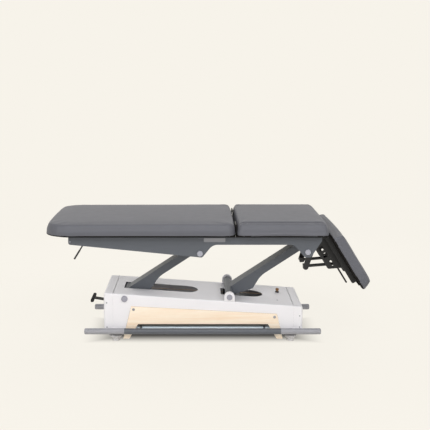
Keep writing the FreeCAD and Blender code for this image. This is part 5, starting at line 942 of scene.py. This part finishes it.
class TABLE_OT_stage(bpy.types.Operator):
    """Pale floor and background, soft studio light and the camera"""
    bl_idname = "table.stage"
    bl_label = "Stage"

    def execute(self, context):
        scene = context.scene
        scene.view_settings.view_transform = "Standard"
        self.background(scene)
        self.floor()
        for name, place, power in SOFTBOXES:
            lamp = self.softbox(scene, name, place, power)
            # Seen in the cushions at a low angle, the two behind would hide the colour of the leatherette
            lamp.visible_glossy = place[1] < 0.0
        self.camera(scene)
        return {"FINISHED"}

    def background(self, scene):
        world = bpy.data.worlds.new("Pale studio")
        world.use_nodes = True
        scene.world = world
        tree = world.node_tree
        tree.nodes.clear()
        output = add_node(tree, "ShaderNodeOutputWorld")
        shown = add_node(tree, "ShaderNodeBackground", {"Color": colours().floor, "Strength": 1.0})
        fill = add_node(tree, "ShaderNodeBackground", {"Color": (1.0, 1.0, 1.0, 1.0), "Strength": FILL_LIGHT})
        mixed = add_node(tree, "ShaderNodeMixShader",
                         {0: self.seen_directly(tree), 1: fill.outputs["Background"],
                          2: shown.outputs["Background"]})
        tree.links.new(mixed.outputs["Shader"], output.inputs["Surface"])

    def seen_directly(self, tree):
        """1 where the camera sees it, also reflected or through a clear piece, 0 where it only gives light."""
        path = add_node(tree, "ShaderNodeLightPath").outputs
        opaque = reckon(tree, "MAXIMUM", path["Is Camera Ray"], path["Is Glossy Ray"])
        return reckon(tree, "MAXIMUM", opaque, path["Is Transmission Ray"])

    def floor(self):
        radius = sizes().stage_radius
        material, tree, surface, place = start_material("Studio floor, painted")
        tint = colours().floor
        tone = mottled(tree, noise(tree, place, 500, 2.0), tint, 0.995, 1.0)
        lit = add_node(tree, "ShaderNodeBsdfDiffuse", {"Color": tone})
        # Painted shadow: a soft dark patch drawn into the floor's plain colour close under the low base
        depth = ramp(tree, self.beyond_base(tree, place), (-sizes().shadow_depth, sizes().shadow_reach),
                     interpolation="SMOOTHSTEP")
        patch = blend(tree, depth, shade(tint, SHADOW_TONE), tint)
        glow = add_node(tree, "ShaderNodeEmission", {"Color": patch, "Strength": 1.0})
        share = reckon(tree, "MULTIPLY", self.seen_directly(tree), FLOOR_GLOW)
        body = add_node(tree, "ShaderNodeMixShader",
                        {0: share, 1: lit.outputs["BSDF"], 2: glow.outputs["Emission"]})
        distance = add_node(tree, "ShaderNodeVectorMath", {0: place}, operation="LENGTH").outputs["Value"]
        fade = ramp(tree, distance, [radius * part for part in FADE_SHARES], interpolation="SMOOTHSTEP")
        clear = add_node(tree, "ShaderNodeBsdfTransparent")
        faded = add_node(tree, "ShaderNodeMixShader",
                         {0: fade, 1: body.outputs["Shader"], 2: clear.outputs["BSDF"]})
        tree.links.new(faded.outputs["Shader"], surface)
        work = bmesh.new()
        bmesh.ops.create_circle(work, cap_ends=True, cap_tris=False, segments=96, radius=radius)
        piece = piece_from("studio_floor", work, material)
        piece.location.z = -0.5 * MM

    def beyond_base(self, tree, place):
        """How far a spot on the floor lies outside the outline of the base, less quickly past its two ends,
        where the foot bars go on."""
        low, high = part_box("base_cover")
        half = (high - low) / 2.0
        moved = add_node(tree, "ShaderNodeVectorMath", {0: place, 1: (low + high) / 2.0}, operation="SUBTRACT")
        sides = add_node(tree, "ShaderNodeVectorMath", {0: moved.outputs["Vector"]}, operation="ABSOLUTE")
        split = add_node(tree, "ShaderNodeSeparateXYZ", {"Vector": sides.outputs["Vector"]}).outputs
        reach = half.x * SHADOW_SLOPE + SHADOW_OVERRUN * MM
        along = reckon(tree, "MULTIPLY_ADD", split["X"], SHADOW_SLOPE, -reach)
        return reckon(tree, "MAXIMUM", along, reckon(tree, "SUBTRACT", split["Y"], half.y))

    def softbox(self, scene, name, place, power):
        light = bpy.data.lights.new(name, "AREA")
        light.shape = "SQUARE"
        light.size = SOFTBOX_SIZE
        light.energy = power
        lamp = bpy.data.objects.new(name, light)
        scene.collection.objects.link(lamp)
        lamp.location = place
        aim = Vector(SOFTBOX_TARGET) - Vector(place)
        lamp.rotation_euler = aim.to_track_quat("-Z", "Y").to_euler()
        return lamp

    def camera(self, scene):
        data = bpy.data.cameras.new("Camera")
        data.sensor_width = SENSOR_WIDTH
        data.lens = sizes().camera_lens / MM
        data.shift_x, data.shift_y = CAMERA_SHIFT
        camera = bpy.data.objects.new("Camera", data)
        scene.collection.objects.link(camera)
        camera.location = CAMERA_PLACE
        camera.rotation_euler = (math.radians(90.0 - CAMERA_TILT), 0.0, 0.0)
        scene.camera = camera


OPERATORS = (
    TABLE_OT_long_cushion, TABLE_OT_mid_cushion, TABLE_OT_head_cushion, TABLE_OT_stitching,
    TABLE_OT_casing_screws, TABLE_OT_pedal_tread, TABLE_OT_castor_wheels, TABLE_OT_foot_lock_nuts,
    TABLE_OT_inlet_pins, TABLE_OT_painted_steel, TABLE_OT_woodwork, TABLE_OT_bare_metal, TABLE_OT_mouldings,
    TABLE_OT_stage,
)


class TABLE_PT_dressing(bpy.types.Panel):
    """Lists the steps that dress the table"""
    bl_idname = "TABLE_PT_dressing"
    bl_label = "Physiotherapy table"
    bl_space_type = "VIEW_3D"
    bl_region_type = "UI"
    bl_category = "Table"

    def draw(self, context):
        for step in OPERATORS:
            self.layout.operator(step.bl_idname)
        for group in (context.scene.table_sizes, context.scene.table_colours):
            column = self.layout.column()
            for name in group.__annotations__:
                column.prop(group, name)


CLASSES = (TableColours, TableSizes) + OPERATORS + (TABLE_PT_dressing,)


def register():
    for kind in CLASSES:
        bpy.utils.register_class(kind)
    bpy.types.Scene.table_colours = bpy.props.PointerProperty(type=TableColours)
    bpy.types.Scene.table_sizes = bpy.props.PointerProperty(type=TableSizes)


def unregister():
    del bpy.types.Scene.table_sizes
    del bpy.types.Scene.table_colours
    for kind in reversed(CLASSES):
        bpy.utils.unregister_class(kind)


def main():
    register()
    bpy.ops.table.stage()
    bpy.ops.table.painted_steel()
    bpy.ops.table.woodwork()
    bpy.ops.table.bare_metal()
    bpy.ops.table.mouldings()
    bpy.ops.table.long_cushion()
    bpy.ops.table.mid_cushion()
    bpy.ops.table.head_cushion()
    bpy.ops.table.stitching()
    bpy.ops.table.casing_screws()
    bpy.ops.table.pedal_tread()
    bpy.ops.table.castor_wheels()
    bpy.ops.table.foot_lock_nuts()
    bpy.ops.table.inlet_pins()


if __name__ == "__main__":
    main()
